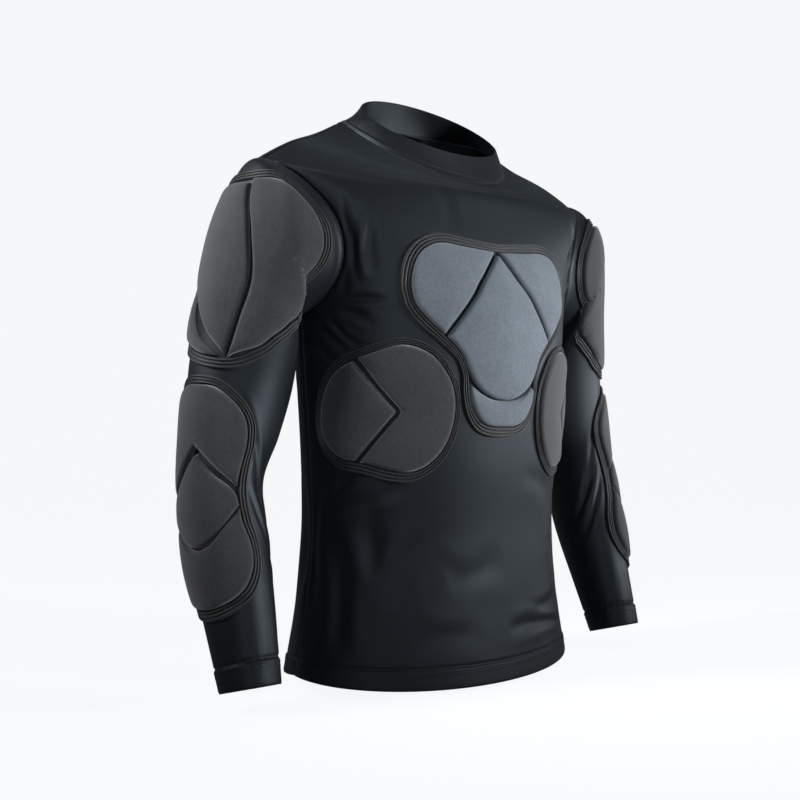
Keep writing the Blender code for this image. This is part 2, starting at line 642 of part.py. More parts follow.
def cell(name, outline, cloth, bed, look, mirror=1, spine=None, middle=None):
    """One cell of moulded foam."""
    cut = rounded(outline)
    girth = np.linalg.norm(np.roll(cut, -1, axis=0) - cut, axis=1).sum()
    edge = evenly(cut, max(LEAST_CELL_STATIONS, round(girth / CELL_STATION_STEP)))
    edge = edge - outward(edge) * GROOVE / 2
    if spine is not None:
        edge = straightened(edge, spine)
    if middle is None:
        middle = edge.mean(axis=0)
    longest = np.linalg.norm(edge - middle, axis=1).max()
    steps = max(2, math.ceil(longest / CELL_RING_STEP))
    bottom = [(share, 0.0) for share in np.linspace(0, 1, steps + 1)]
    rings = []
    for reach, high in bottom + CELL_SHOULDER + CELL_CROWN:
        flat = middle + (edge - middle) * reach
        if spine is not None:
            flat = bent_back(flat, spine)
        rings.append(laid(cloth, flat, np.full(len(flat), bed + high * PAD_THICK), mirror))
    return pillow(name, np.stack(rings), look)


def true_band(cloth, edge, away):
    """The band's width at each station as drawn flat, where the flat drawing stretches on the cloth."""
    bare = np.zeros(len(edge))
    beside = laid(cloth, edge[:, :2] + away * BAND_PROBE, bare)
    stretch = np.linalg.norm(beside - laid(cloth, edge[:, :2], bare), axis=1) / BAND_PROBE
    stretch = (np.roll(stretch, 1) + stretch + np.roll(stretch, -1)) / 3
    return edge[:, 2:3] / np.maximum(stretch, 1)[:, None]


def border(name, outline, cloth, bed, mirror=1):
    """The corded strip sewn round a pad."""
    edge = evenly(rounded(np.array(outline, float)), BORDER_STATIONS)
    away = outward(edge[:, :2])
    band = true_band(cloth, edge, away)
    columns = []
    for share, high in TWO_CORDS:
        reach = BORDER_GAP - GROOVE / 2 + share * band
        flat = edge[:, :2] + away * reach
        columns.append(laid(cloth, flat, np.full(len(flat), bed + high * BORDER_HIGH), mirror))
    return ring_solid(name, np.stack(columns, axis=1), CORDED)


def chest_pads():
    border("chest_border", both_halves(CHEST_HALF), ON_BODY, CHEST_TRIM_BED)
    cell("chest_pad_left", CHEST_CELLS["upper"], ON_BODY, CHEST_BED, CHEST_FOAM)
    cell("chest_pad_right", CHEST_CELLS["upper"], ON_BODY, CHEST_BED, CHEST_FOAM, -1)
    cell("chest_pad_middle", both_halves(CHEST_CELLS["middle_half"]), ON_BODY, CHEST_BED, CHEST_FOAM)
    lower = both_halves(CHEST_CELLS["lower_half"])
    cell("chest_pad_lower", lower, ON_BODY, CHEST_TRIM_BED, CHEST_FOAM, middle=CHEST_LOWER_MIDDLE)


def side_pads(side, mirror):
    """The rib, shoulder and forearm pads of one side."""
    border(f"rib_border_{side}", RIB, ON_BODY, RIB_BED, mirror)
    for place, outline in RIB_CELLS.items():
        cell(f"rib_pad_{place}_{side}", outline, ON_BODY, RIB_BED, DARK_FOAM, mirror)
    border(f"shoulder_border_{side}", SHOULDER, ON_UPPER_ARM, SHOULDER_TRIM_BED, mirror)
    for place, outline in SHOULDER_CELLS.items():
        spine = SHOULDER_BACK_SPINE if place == "back" else None
        bed = SHOULDER_BEDS[place]
        cell(f"shoulder_pad_{place}_{side}", outline, ON_UPPER_ARM, bed, DARK_FOAM, mirror, spine)
    border(f"forearm_border_{side}", FOREARM, ON_FOREARM, FOREARM_TRIM_BED, mirror)
    for place, outline in FOREARM_CELLS.items():
        bed = FOREARM_BEDS[place]
        middle = FOREARM_LOWER_MIDDLE if place == "lower" else None
        cell(f"forearm_pad_{place}_{side}", outline, ON_FOREARM, bed, DARK_FOAM, mirror, middle=middle)


def main():
    clear_scene()
    panel("front", True)
    panel("back", False)
    collar()
    chest_pads()
    for side, mirror in (("left", 1), ("right", -1)):
        sleeve(f"sleeve_{side}", mirror)
        side_pads(side, mirror)


main()
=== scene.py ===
import math
from collections import namedtuple

import bmesh
import bpy
import numpy as np
from mathutils import Matrix, Vector


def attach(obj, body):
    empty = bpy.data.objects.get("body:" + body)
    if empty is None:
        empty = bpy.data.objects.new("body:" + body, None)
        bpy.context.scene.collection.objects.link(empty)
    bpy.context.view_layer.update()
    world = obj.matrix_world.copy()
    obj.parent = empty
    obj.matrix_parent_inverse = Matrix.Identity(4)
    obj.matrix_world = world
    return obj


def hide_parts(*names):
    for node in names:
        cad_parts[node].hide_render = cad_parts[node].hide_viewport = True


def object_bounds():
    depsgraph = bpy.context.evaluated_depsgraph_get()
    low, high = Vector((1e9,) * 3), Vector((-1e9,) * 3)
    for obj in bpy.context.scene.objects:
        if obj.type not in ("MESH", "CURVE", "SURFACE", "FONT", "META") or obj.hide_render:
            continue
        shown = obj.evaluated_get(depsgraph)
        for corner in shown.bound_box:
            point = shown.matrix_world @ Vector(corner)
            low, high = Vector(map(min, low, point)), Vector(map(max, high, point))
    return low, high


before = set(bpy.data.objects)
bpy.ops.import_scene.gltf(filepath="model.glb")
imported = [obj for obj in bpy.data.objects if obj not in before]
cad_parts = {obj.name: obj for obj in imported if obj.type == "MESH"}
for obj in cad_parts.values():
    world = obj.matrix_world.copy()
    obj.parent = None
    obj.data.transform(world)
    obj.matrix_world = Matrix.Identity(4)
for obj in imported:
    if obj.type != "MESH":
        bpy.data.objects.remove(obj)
CAD_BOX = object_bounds()
print("solids", len(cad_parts), "box", [tuple(round(v, 3) for v in corner) for corner in CAD_BOX])


# %% [markdown]
# # A padded compression shirt
# The shirt is a tight stretch knit, filled out as on a wearer, with foam pads sewn to its chest, ribs, shoulders
# and forearms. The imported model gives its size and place, and its solids stay as they are for collision. Every
# piece below is a finer skin of one of those solids, made on the same curves, so it lies where the solid lies.


# %% [markdown]
# ## Camera
# The photo looks level at the shirt from its wearer's front right. Such a view can be fitted by hand, or worked
# out from points whose place on the shirt is known. The second way was used, so the numbers are exact: a
# distance, an angle from straight ahead, a lens, and a small shift for an object that isn't in the middle.


# %% Camera
SIGHT_ANGLE = math.radians(38.2)
SIGHT_DISTANCE = 1.4126
SIGHT_HEIGHT = -0.3689
LENS = 50.41
SHIFT_RIGHT = -0.041
SHIFT_UP = 0.01875

scene = bpy.context.scene
camera = bpy.data.objects.new("camera", bpy.data.cameras.new("camera"))
scene.collection.objects.link(camera)
scene.camera = camera
away = -SIGHT_DISTANCE
camera.location = (math.sin(SIGHT_ANGLE) * away, math.cos(SIGHT_ANGLE) * away, SIGHT_HEIGHT)
camera.rotation_euler = (math.radians(90), 0, -SIGHT_ANGLE)
camera.data.lens = LENS
camera.data.shift_x = SHIFT_RIGHT
camera.data.shift_y = SHIFT_UP
print("camera", tuple(round(v, 3) for v in camera.location), "lens", camera.data.lens)


# %% [markdown]
# ## Floor and light
# A pale bowl stands in for the studio: its floor bends up into a wall all round, so no edge shows behind the
# shirt from any side. Only the camera sees it. Light thrown back from it would turn a black satin knit grey, so
# the cloth takes its highlights from a few soft boxes, most with a narrowed spread that keeps to its own part.


# %% Studio
FLOOR_GAP = 0.004
FLOOR_Z = CAD_BOX[0].z - FLOOR_GAP
BEND_STEPS = 12
BOWL_STEPS = 96
WORLD_COLOUR = (0.30, 0.31, 0.33, 1)
WORLD_STRENGTH = 0.25
Lamp = namedtuple("Lamp", "name place aim size power tint spread")
LAMPS = [
    Lamp("key_right", (2.2, -0.6, -0.12), (0.0, -0.05, -0.29), (1.0, 0.4), 1.8, (0.95, 0.98, 1.0), 25),
    Lamp("side_right", (2.0, 0.8, -0.2), (0.1, -0.05, -0.3), (0.8, 0.4), 0.5, (0.9, 0.95, 1.0), 25),
    Lamp("fill_front", (0.2, -2.2, 0.1), (-0.05, -0.1, -0.2), (0.7, 0.6), 0.5, (0.92, 0.96, 1.0), 40),
    Lamp("overhead", (0.7, 0.3, 1.7), (0.0, -0.05, -0.3), (0.7, 0.7), 2.0, (0.92, 0.96, 1.0), 180),
    Lamp("shoulder_left", (-1.3, -0.5, 0.45), (-0.27, -0.02, -0.16), (0.4, 0.4), 1.0, (1.0, 1.0, 1.0), 35),
]


def object_from(bm, name):
    """Turns a finished mesh in the making into an object at the origin."""
    mesh = bpy.data.meshes.new(name)
    bm.to_mesh(mesh)
    bm.free()
    mesh.shade_smooth()
    made = bpy.data.objects.new(name, mesh)
    scene.collection.objects.link(made)
    return made


def studio_bowl(radius=5.0, bend=2.2, height=4.5):
    """A flat floor that bends up into a round wall, spun from its section."""
    bm = bmesh.new()
    flat = radius - bend
    turns = [math.pi / 2 * step / BEND_STEPS for step in range(BEND_STEPS + 1)]
    rounding = [(flat + bend * math.sin(turn), FLOOR_Z + bend * (1 - math.cos(turn))) for turn in turns]
    section = [(0.0, FLOOR_Z), *rounding, (radius, FLOOR_Z + height)]
    line = [bm.verts.new((x, 0.0, z)) for x, z in section]
    edges = [bm.edges.new(pair) for pair in zip(line, line[1:])]
    bmesh.ops.spin(
        bm, geom=line + edges, cent=(0, 0, 0), axis=(0, 0, 1), angle=2 * math.pi,
        steps=BOWL_STEPS, use_merge=True,
    )
    bmesh.ops.remove_doubles(bm, verts=bm.verts, dist=0.0001)
    bmesh.ops.recalc_face_normals(bm, faces=bm.faces)
    if sum(face.normal.z for face in bm.faces) < 0:
        bmesh.ops.reverse_faces(bm, faces=bm.faces)
    return object_from(bm, "studio_bowl")


def soft_box(lamp):
    """An area light. Its place is as seen from the camera: metres to its right, beyond the shirt and up."""
    light = bpy.data.lights.new(lamp.name, "AREA")
    light.shape = "RECTANGLE"
    light.size, light.size_y = lamp.size
    light.energy = lamp.power
    light.color = lamp.tint
    light.spread = math.radians(lamp.spread)
    made = bpy.data.objects.new(lamp.name, light)
    made.location = Matrix.Rotation(-SIGHT_ANGLE, 3, "Z") @ Vector(lamp.place)
    made.rotation_euler = (Vector(lamp.aim) - made.location).to_track_quat("-Z", "Y").to_euler()
    scene.collection.objects.link(made)


bowl = studio_bowl()
bowl.visible_glossy = False
bowl.visible_diffuse = False
for lamp in LAMPS:
    soft_box(lamp)

world = bpy.data.worlds.new("studio")
world.use_nodes = True
backdrop = world.node_tree.nodes["Background"].inputs
backdrop["Color"].default_value = WORLD_COLOUR
backdrop["Strength"].default_value = WORLD_STRENGTH
scene.world = world
scene.view_settings.view_transform = "Standard"
print("floor at", round(FLOOR_Z, 3), "lights", len(LAMPS))


# %% [markdown]
# ## The body of the shirt as curves
# A worn shirt has no straight line, so it isn't pushed into shape by hand. A short table gives the depth at the
# centre of the front and the back and the edge between them at each height. A cubic curve joins centre and edge,
# and smooth curves join the rows. Sizes are in millimetres, as on a pattern, and turn into metres in the mesh.


# %% Body table
# The torso, one row for each section. "rise" runs 0 to 1 up the side seam, 1 to 2 round the armhole and
# 2 to 3 along the shoulder seam. Each row gives the centre front, the centre back and the edge between them.
Section = namedtuple("Section", "rise front_z front_y back_z back_y edge_x edge_y edge_z")
TORSO = [
    Section(0.00, -684, -122, -680, 128, 201, 4, -669),
    Section(0.20, -594, -115, -594, 121, 186, 4, -594),
    Section(0.40, -508, -115, -508, 115, 177, 5, -508),
    Section(0.60, -422, -125, -422, 113, 179, 5, -422),
    Section(0.80, -336, -133, -336, 114, 184, 6, -336),
    Section(1.00, -250, -135, -250, 116, 190, 7, -250),
    Section(1.25, -212, -127, -205, 116, 0, 0, 0),
    Section(1.50, -170, -116, -145, 112, 0, 0, 0),
    Section(1.75, -138, -107, -92, 104, 0, 0, 0),
    Section(2.00, -110, -100, -52, 94, 238, 20, -78),
    Section(2.33, -100, -93, -32, 87, 194, 21, -50),
    Section(2.67, -94, -87, -14, 81, 151, 30, -32),
    Section(3.00, -87, -82, 2, 76, 110, 38, -9),
]
ARMPIT = TORSO[5]
SHOULDER_TIP = TORSO[9]

# The armhole reaches this far forward and back, and hollows in by this much. A section meets it at the
# heading ARMHOLE_TURN, in degrees from straight across, and meets the side seam square.
ARMHOLE_FRONT_REACH = 77.0
ARMHOLE_BACK_REACH = 72.0
ARMHOLE_FRONT_HOLLOW = 35.0
ARMHOLE_BACK_HOLLOW = 14.0
ARMHOLE_TURN = 52.0

# Handle length of a cubic curve that rounds a quarter of an oval
ROUND = 0.5523


# %% Curves of the body
def hermite(t, start, end, leaving, arriving):
    """Values between a start and an end, with the given slopes there."""
    value = (2 * t**3 - 3 * t**2 + 1) * start + (3 * t**2 - 2 * t**3) * end
    return value + (t**3 - 2 * t**2 + t) * leaving + (t**3 - t**2) * arriving


def run_of(points):
    """Lengths along a line of points, from its first one on."""
    steps = np.linalg.norm(np.diff(points, axis=0), axis=-1)
    return np.concatenate([[0], np.cumsum(steps)])


def smooth(knots, values, at):
    """Values of a smooth curve through the table's rows."""
    knots = np.asarray(knots, float)
    values = np.asarray(values, float)
    at = np.clip(np.asarray(at, float), knots[0], knots[-1])
    slopes = np.gradient(values, knots, axis=0)
    low = np.clip(np.searchsorted(knots, at, side="right") - 1, 0, len(knots) - 2)
    span = knots[low + 1] - knots[low]
    t = (at - knots[low]) / span
    if values.ndim > 1:
        t = t[..., None]
        span = span[..., None]
    return hermite(t, values[low], values[low + 1], span * slopes[low], span * slopes[low + 1])


def armhole_point(turn, is_front):
    """A point of the armhole: turn 0 is the armpit, 1 is the shoulder tip."""
    pit, tip = ARMPIT, SHOULDER_TIP
    angle = math.pi * np.asarray(turn, float)
    share = (1 - np.cos(angle)) / 2
    reach = -ARMHOLE_FRONT_REACH if is_front else ARMHOLE_BACK_REACH
    hollow = ARMHOLE_FRONT_HOLLOW if is_front else ARMHOLE_BACK_HOLLOW
    x = pit.edge_x + (tip.edge_x - pit.edge_x) * share - hollow * np.sin(angle) ** 2
    y = pit.edge_y + (tip.edge_y - pit.edge_y) * share + reach * np.sin(angle)
    z = pit.edge_z + (tip.edge_z - pit.edge_z) * share
    return np.stack([x, y, z], axis=-1)


def torso_edge(rise, is_front):
    """The panel's edge at each rise, and the heading in degrees with which a section meets it."""
    rise = np.asarray(rise, float)
    side = [s for s in TORSO if s.rise <= 1]
    shoulder = [s for s in TORSO if s.rise >= 2]
    below = smooth([s.rise for s in side], [s[5:] for s in side], rise)
    above = smooth([s.rise for s in shoulder], [s[5:] for s in shoulder], rise)
    around = armhole_point(np.clip(rise - 1, 0, 1), is_front)
    edge = np.where((rise < 1)[..., None], below, np.where((rise > 2)[..., None], above, around))
    heading = 90 - (90 - ARMHOLE_TURN) * np.sin(math.pi * np.clip(rise - 1, 0, 1))
    return edge, heading


def torso_point(rise, across, is_front):
    """Outer skin of a panel. across runs from -1 at one edge to 1 at the other, by arc length."""
    rise, across = np.broadcast_arrays(np.asarray(rise, float), np.asarray(across, float))
    shape = rise.shape
    rise = rise.ravel()
    across = across.ravel()
    columns = slice(1, 3) if is_front else slice(3, 5)
    centre = smooth([s.rise for s in TORSO], [s[columns] for s in TORSO], rise)
    edge, heading = torso_edge(rise, is_front)
    control = section_controls(centre, edge, heading)
    t = by_arc_length(control, np.abs(across))
    point = bezier(control, t)
    point[:, 0] *= np.sign(across)
    return point.reshape(shape + (3,))


def section_controls(centre, edge, heading):
    """Four control points in plan for half a section, and the heights at its two ends."""
    depth = edge[:, 1] - centre[:, 1]
    angle = np.radians(heading)
    handle = ROUND * np.abs(depth) / np.sin(angle)
    toward = np.sign(depth)
    flat = np.zeros((len(centre), 4, 3))
    flat[:, 0, 1] = centre[:, 1]
    flat[:, 1, 0] = ROUND * edge[:, 0]
    flat[:, 1, 1] = centre[:, 1]
    flat[:, 2, 0] = edge[:, 0] - handle * np.cos(angle)
    flat[:, 2, 1] = edge[:, 1] - handle * np.sin(angle) * toward
    flat[:, 3, :2] = edge[:, :2]
    climb = (flat[:, :, 1] - centre[:, 1:2]) / np.where(depth == 0, 1, depth)[:, None]
    flat[:, :, 2] = centre[:, 0:1] + (edge[:, 2:3] - centre[:, 0:1]) * climb
    return flat


def bezier(control, t):
    """Points of cubic curves, one for each row of control points."""
    t = t[..., None]
    a, b, c, d = (control[:, i] for i in range(4))
    return a * (1 - t) ** 3 + 3 * b * t * (1 - t) ** 2 + 3 * c * t**2 * (1 - t) + d * t**3


def by_arc_length(control, share):
    """The curve parameter at each share of the arc length."""
    samples = np.linspace(0, 1, 25)
    line = np.stack([bezier(control, np.full(len(control), s)) for s in samples], axis=1)
    steps = np.linalg.norm(np.diff(line, axis=1), axis=2)
    long = np.concatenate([np.zeros((len(control), 1)), np.cumsum(steps, axis=1)], axis=1)
    aim = share * long[:, -1]
    low = np.clip((long < aim[:, None]).sum(axis=1) - 1, 0, len(samples) - 2)
    rows = np.arange(len(control))
    part = (aim - long[rows, low]) / np.maximum(long[rows, low + 1] - long[rows, low], 1e-9)
    return samples[low] + part * (samples[1] - samples[0])


print("chest girth in mm", round(2 * float(run_of(torso_point(1.0, np.linspace(-1, 1, 99), True))[-1])))


# %% [markdown]
# ## The sleeves as curves
# A sleeve starts on the armhole and ends in a cuff, and turns from a tall oval to a small round one on its way.
# Each row of the table is one oval, given by its outer and inner point and its depth, and the surface runs
# smoothly through them. Only the left sleeve is worked out, and the right one is its mirror image.


# %% Sleeve table
# The sleeve of the +X side. Each section is an oval between an outer and an inner point, with its own
# front-to-back half depth. "front_lift" raises its front edge, as the forearm swings forward.
Ring = namedtuple("Ring", "outer_x outer_z inner_x inner_z centre_y half_depth front_lift")
SLEEVE = [
    Ring(253, -82, 210, -268, 14, 72, 0),
    Ring(268, -114, 206, -280, 17, 70, 0),
    Ring(284, -161, 200, -296, 22, 67, 0),
    Ring(299, -232, 195, -318, 28, 63, 0),
    Ring(312, -314, 198, -352, 33, 58, 0),
    Ring(319, -390, 214, -398, 30, 52, 5),
    Ring(324, -454, 238, -451, 24, 50, 11),
    Ring(326, -523, 240, -516, 6, 47, 15),
    Ring(321, -595, 245, -589, -20, 39, 14),
    Ring(317, -663, 252, -663, -45, 32, 9),
]


# %% Curves of the sleeve
def armhole_loop(angle):
    """The armhole by angle round the sleeve: 0 at the tip, a quarter turn in front, a half at the armpit."""
    angle = np.mod(np.asarray(angle, float), 2 * math.pi)
    front = armhole_point(1 - angle / math.pi, True)
    back = armhole_point(angle / math.pi - 1, False)
    return np.where((angle <= math.pi)[..., None], front, back)


def sleeve_ring(ring, angle):
    """One oval of the sleeve table."""
    outer = np.array([ring.outer_x, ring.centre_y, ring.outer_z], float)
    inner = np.array([ring.inner_x, ring.centre_y, ring.inner_z], float)
    middle = (outer + inner) / 2
    front = np.array([0, -ring.half_depth, ring.front_lift], float)
    return middle + np.cos(angle)[..., None] * (outer - middle) + np.sin(angle)[..., None] * front


def sleeve_point(along, angle):
    """Outer skin of the +X sleeve. along runs from 0 at the armhole to 1 at the cuff."""
    along, angle = np.broadcast_arrays(np.asarray(along, float), np.asarray(angle, float))
    stack = np.stack([armhole_loop(angle)] + [sleeve_ring(r, angle) for r in SLEEVE])
    knots = np.linspace(0, 1, len(stack))
    shape = along.shape
    flat_along = along.ravel()
    flat_stack = stack.reshape(len(stack), -1, 3)
    slopes = np.gradient(flat_stack, knots, axis=0)
    low = np.clip((flat_along * (len(knots) - 1)).astype(int), 0, len(knots) - 2)
    span = knots[1]
    t = ((flat_along - knots[low]) / span)[:, None]
    pick = np.arange(len(flat_along))
    ends = (flat_stack[low, pick], flat_stack[low + 1, pick])
    return hermite(t, *ends, span * slopes[low, pick], span * slopes[low + 1, pick]).reshape(shape + (3,))


print("cuff girth in mm", round(float(run_of(sleeve_point(1.0, np.linspace(0, 2 * math.pi, 99)))[-1])))


# %% [markdown]
# ## Measuring on the cloth
# Pads, seams and folds are placed as a maker would chalk them: so far from the centre line, so far down the
# sleeve. These helpers turn such chalk marks into the surface's own coordinates, and move points out from the
# cloth by a distance, which is how everything that lies on it is made.


# %% Chalk marks
def half_girth(rise, is_front):
    """Length of half a section, from the centre line to the edge."""
    steps = np.linspace(0, 1, 17)
    rise = np.atleast_1d(np.asarray(rise, float))
    line = torso_point(rise[:, None], steps[None, :], is_front)
    return np.linalg.norm(np.diff(line, axis=1), axis=2).sum(axis=1)


def on_torso(around, height, is_front=True):
    """Panel coordinates of points given by millimetres from the centre line and by height."""
    around, height = np.broadcast_arrays(np.asarray(around, float), np.asarray(height, float))
    table = np.linspace(0, 3, 121)
    girths = half_girth(table, is_front)
    low = np.zeros(around.size)
    high = np.full(around.size, 3.0)
    for _ in range(24):
        rise = (low + high) / 2
        across = around.ravel() / np.interp(rise, table, girths)
        z = torso_point(rise, np.clip(across, -1, 1), is_front)[:, 2]
        below = z < height.ravel()
        low = np.where(below, rise, low)
        high = np.where(below, high, rise)
    across = around.ravel() / np.interp(rise, table, girths)
    return rise.reshape(around.shape), across.reshape(around.shape)


SLEEVE_TURNS = np.radians(np.arange(-180, 181, 5))
SLEEVE_STATIONS = np.linspace(0, 1, 81)


def sleeve_lengths():
    """Lengths down each line of the sleeve from the armhole, and the girth at each station."""
    grid = sleeve_point(SLEEVE_STATIONS[None, :], SLEEVE_TURNS[:, None])
    steps = np.linalg.norm(np.diff(grid, axis=1), axis=2)
    lengths = np.concatenate([np.zeros((len(grid), 1)), np.cumsum(steps, axis=1)], axis=1)
    girths = np.linalg.norm(np.diff(grid, axis=0), axis=2).sum(axis=0)
    return lengths, girths


def on_sleeve(around, down):
    """Sleeve coordinates of points given forward of the outer line and below the armhole."""
    around, down = np.broadcast_arrays(np.asarray(around, float), np.asarray(down, float))
    lengths, girths = sleeve_lengths()
    flat_around = around.ravel()
    flat_down = down.ravel()
    along = np.full(around.size, 0.4)
    for _ in range(12):
        angle = 2 * math.pi * flat_around / np.interp(along, SLEEVE_STATIONS, girths)
        place = (angle - SLEEVE_TURNS[0]) / (SLEEVE_TURNS[1] - SLEEVE_TURNS[0])
        low = np.clip(place.astype(int), 0, len(SLEEVE_TURNS) - 2)
        share = (place - low)[:, None]
        line = lengths[low] * (1 - share) + lengths[low + 1] * share
        aim = np.array([np.interp(d, row, SLEEVE_STATIONS) for d, row in zip(flat_down, line)])
        along = (along + aim) / 2
    return along.reshape(around.shape), angle.reshape(around.shape)


def down_the_arm(around, down):
    """Sleeve coordinates of points given forward of the outer line and by the length down that line."""
    around, down = np.broadcast_arrays(np.asarray(around, float), np.asarray(down, float))
    lengths, girths = sleeve_lengths()
    along = np.interp(down, lengths[len(SLEEVE_TURNS) // 2], SLEEVE_STATIONS)
    return along, 2 * math.pi * around / np.interp(along, SLEEVE_STATIONS, girths)


# %% Out from the cloth
SLOPE_STEP = 0.004
SLOPE_RIM = 0.01


def facing(surface, first, second):
    """Unit vectors that point out of a surface of two coordinates, away from the garment's hollow."""
    along_first = surface(first + SLOPE_STEP, second) - surface(first - SLOPE_STEP, second)
    along_second = surface(first, second + SLOPE_STEP) - surface(first, second - SLOPE_STEP)
    normal = np.cross(along_second, along_first)
    return normal / np.maximum(np.linalg.norm(normal, axis=-1, keepdims=True), 1e-9)


def torso_skin(rise, across, out, is_front=True):
    """Points of a panel moved out by the given distances."""
    rise, across = np.broadcast_arrays(np.asarray(rise, float), np.asarray(across, float))
    inner_rise = np.clip(rise, 2 * SLOPE_RIM, 3 - 2 * SLOPE_RIM)
    inner_across = np.clip(across, SLOPE_STEP - 1, 1 - SLOPE_STEP)
    normal = facing(lambda r, a: torso_point(r, a, is_front), inner_rise, inner_across)
    sign = 1 if is_front else -1
    return torso_point(rise, across, is_front) + sign * normal * np.asarray(out, float)[..., None]


def sleeve_skin(along, angle, out):
    """Points of the +X sleeve moved out by the given distances."""
    along, angle = np.broadcast_arrays(np.asarray(along, float), np.asarray(angle, float))
    normal = facing(sleeve_point, np.clip(along, SLOPE_RIM, 1 - SLOPE_RIM), angle)
    return sleeve_point(along, angle) + normal * np.asarray(out, float)[..., None]


# %% [markdown]
# ## From curves to cloth
# A grid whose corners are moved onto the curves gives an even mesh, with rows that follow the cloth. It carries
# its own UV map in metres on the cloth, so the knit keeps one scale everywhere. The wall's thickness comes last,
# from a Solidify modifier, once the faces are known to point outwards.


# %% Cloth from a grid
MM = 0.001
KNIT_WALL = 1.6
DOUBLES = 0.02


def piece_from(name, points, chalk, inside=None):
    """A piece whose corners are points[row, column] in millimetres, with a UV map from its chalk marks.

    Where it is open, the faces are turned away from a point inside.
    """
    bm = bmesh.new()
    rows, columns = points.shape[:2]
    corners = bmesh.ops.create_grid(bm, x_segments=columns - 1, y_segments=rows - 1, size=1)["verts"]
    cloth_map = bm.loops.layers.uv.verify()
    for vert in corners:
        column = round((vert.co.x + 1) / 2 * (columns - 1))
        row = round((vert.co.y + 1) / 2 * (rows - 1))
        vert.co = points[row, column] * MM
        for loop in vert.link_loops:
            loop[cloth_map].uv = Vector(chalk[row, column] * MM)
    bmesh.ops.remove_doubles(bm, verts=bm.verts, dist=DOUBLES * MM)
    bmesh.ops.recalc_face_normals(bm, faces=bm.faces)
    if inside is not None:
        middle = Vector(inside) * MM
        if sum((face.calc_center_median() - middle).dot(face.normal) for face in bm.faces) < 0:
            bmesh.ops.reverse_faces(bm, faces=bm.faces)
    return object_from(bm, name)


def skin_area(piece):
    """The area of a sheet before its wall, in square metres."""
    return sum(face.area for face in piece.data.polygons)


def walled(piece):
    """Gives a sheet its wall, grown inwards from the skin that shows."""
    wall = piece.modifiers.new("wall", "SOLIDIFY")
    wall.thickness = KNIT_WALL * MM
    wall.offset = -1
    wall.use_even_offset = False
    print(piece.name, "faces", len(piece.data.polygons), "area in square metres", round(skin_area(piece), 4))
    return piece


print("knit wall in mm", KNIT_WALL)


# %% [markdown]
# ## Folds
# A tight knit folds little: it draws into shallow troughs where it is pulled, at the armholes and armpits, and
# above the hem. Simulated cloth would settle the same way, but a stretched tube gives it nothing to fall on, so
# each fold is chalked on, one by one. A fold is a trough with softer rises beside it, deeper in one part than
# another.
# The photo shows those on the wearer's front and right. The left and the back have folds of the same kind.


# %% Fold table
Fold = namedtuple("Fold", "side level to_side to_level bow width depth")
FRONT_FOLDS = [
    Fold(-190, -118, -196, -236, 6, 5.0, -3.6),
    Fold(-172, -132, -178, -222, -4, 4.6, -3.6),
    Fold(-156, -146, -160, -212, -3, 7.0, -1.8),
    Fold(-226, -243, -146, -239, 2, 3.6, -1.8),
    Fold(-232, -270, -190, -300, 3, 3.8, -3.8),
    Fold(-216, -258, -176, -292, -3, 3.6, -3.4),
    Fold(-236, -290, -204, -312, 1, 3.6, -2.8),
    Fold(-206, -250, -160, -268, 4, 4.4, -1.8),
    Fold(-160, -462, -154, -556, 5, 13, -3.4),
    Fold(-222, -446, -230, -600, -6, 10, -3.6),
    Fold(-190, -500, -198, -646, 6, 12, -3.0),
    Fold(-206, -462, -160, -432, 4, 6.0, -3.0),
    Fold(-192, -484, -120, -440, -5, 8.0, -2.4),
    Fold(-130, -590, -96, -500, 9, 14, -1.6),
    Fold(24, -624, 156, -634, 5, 6.5, -3.2),
    Fold(64, -604, 180, -592, -6, 9.0, -1.8),
    Fold(-64, -560, 16, -534, -7, 17, -1.5),
    Fold(-120, -640, -20, -622, 6, 13, -1.3),
    Fold(168, -204, 208, -174, 3, 3.4, -3.6),
    Fold(164, -190, 204, -156, -3, 3.4, -3.4),
    Fold(154, -174, 198, -140, 4, 3.8, -3.0),
    Fold(172, -218, 208, -194, 1, 3.2, -3.0),
    Fold(180, -116, 190, -172, -4, 5.0, -2.6),
    Fold(226, -272, 188, -302, 2, 3.6, -3.0),
    Fold(158, -462, 150, -560, -5, 12, -3.0),
    Fold(216, -450, 224, -610, 6, 10, -3.4),
    Fold(-66, -100, -58, -158, 6, 10, -1.1),
    Fold(40, -440, 124, -474, 7, 13, -1.3),
]
BACK_FOLDS = [
    Fold(-176, -110, -186, -218, 7, 6.0, -3.6),
    Fold(-154, -130, -160, -224, 5, 7.0, -2.2),
    Fold(180, -112, 188, -226, -6, 6.0, -3.3),
    Fold(158, -140, 162, -214, -5, 6.5, -2.4),
    Fold(-222, -262, -176, -292, 3, 4.5, -3.0),
    Fold(220, -266, 180, -290, -3, 4.5, -2.8),
    Fold(-196, -300, -140, -330, -4, 6.0, -1.8),
    Fold(202, -306, 150, -324, 4, 6.0, -1.7),
    Fold(-90, -398, 40, -384, -9, 13, -2.4),
    Fold(-20, -436, 112, -446, 8, 12, -2.2),
    Fold(-150, -470, -60, -452, 7, 11, -2.0),
    Fold(-206, -440, -214, -590, -7, 11, -3.6),
    Fold(208, -452, 214, -606, 8, 12, -3.3),
    Fold(-110, -604, -6, -622, 6, 10, -2.1),
    Fold(60, -620, 168, -600, -6, 10, -2.2),
    Fold(-16, -70, -10, -170, 4, 12, -1.2),
]
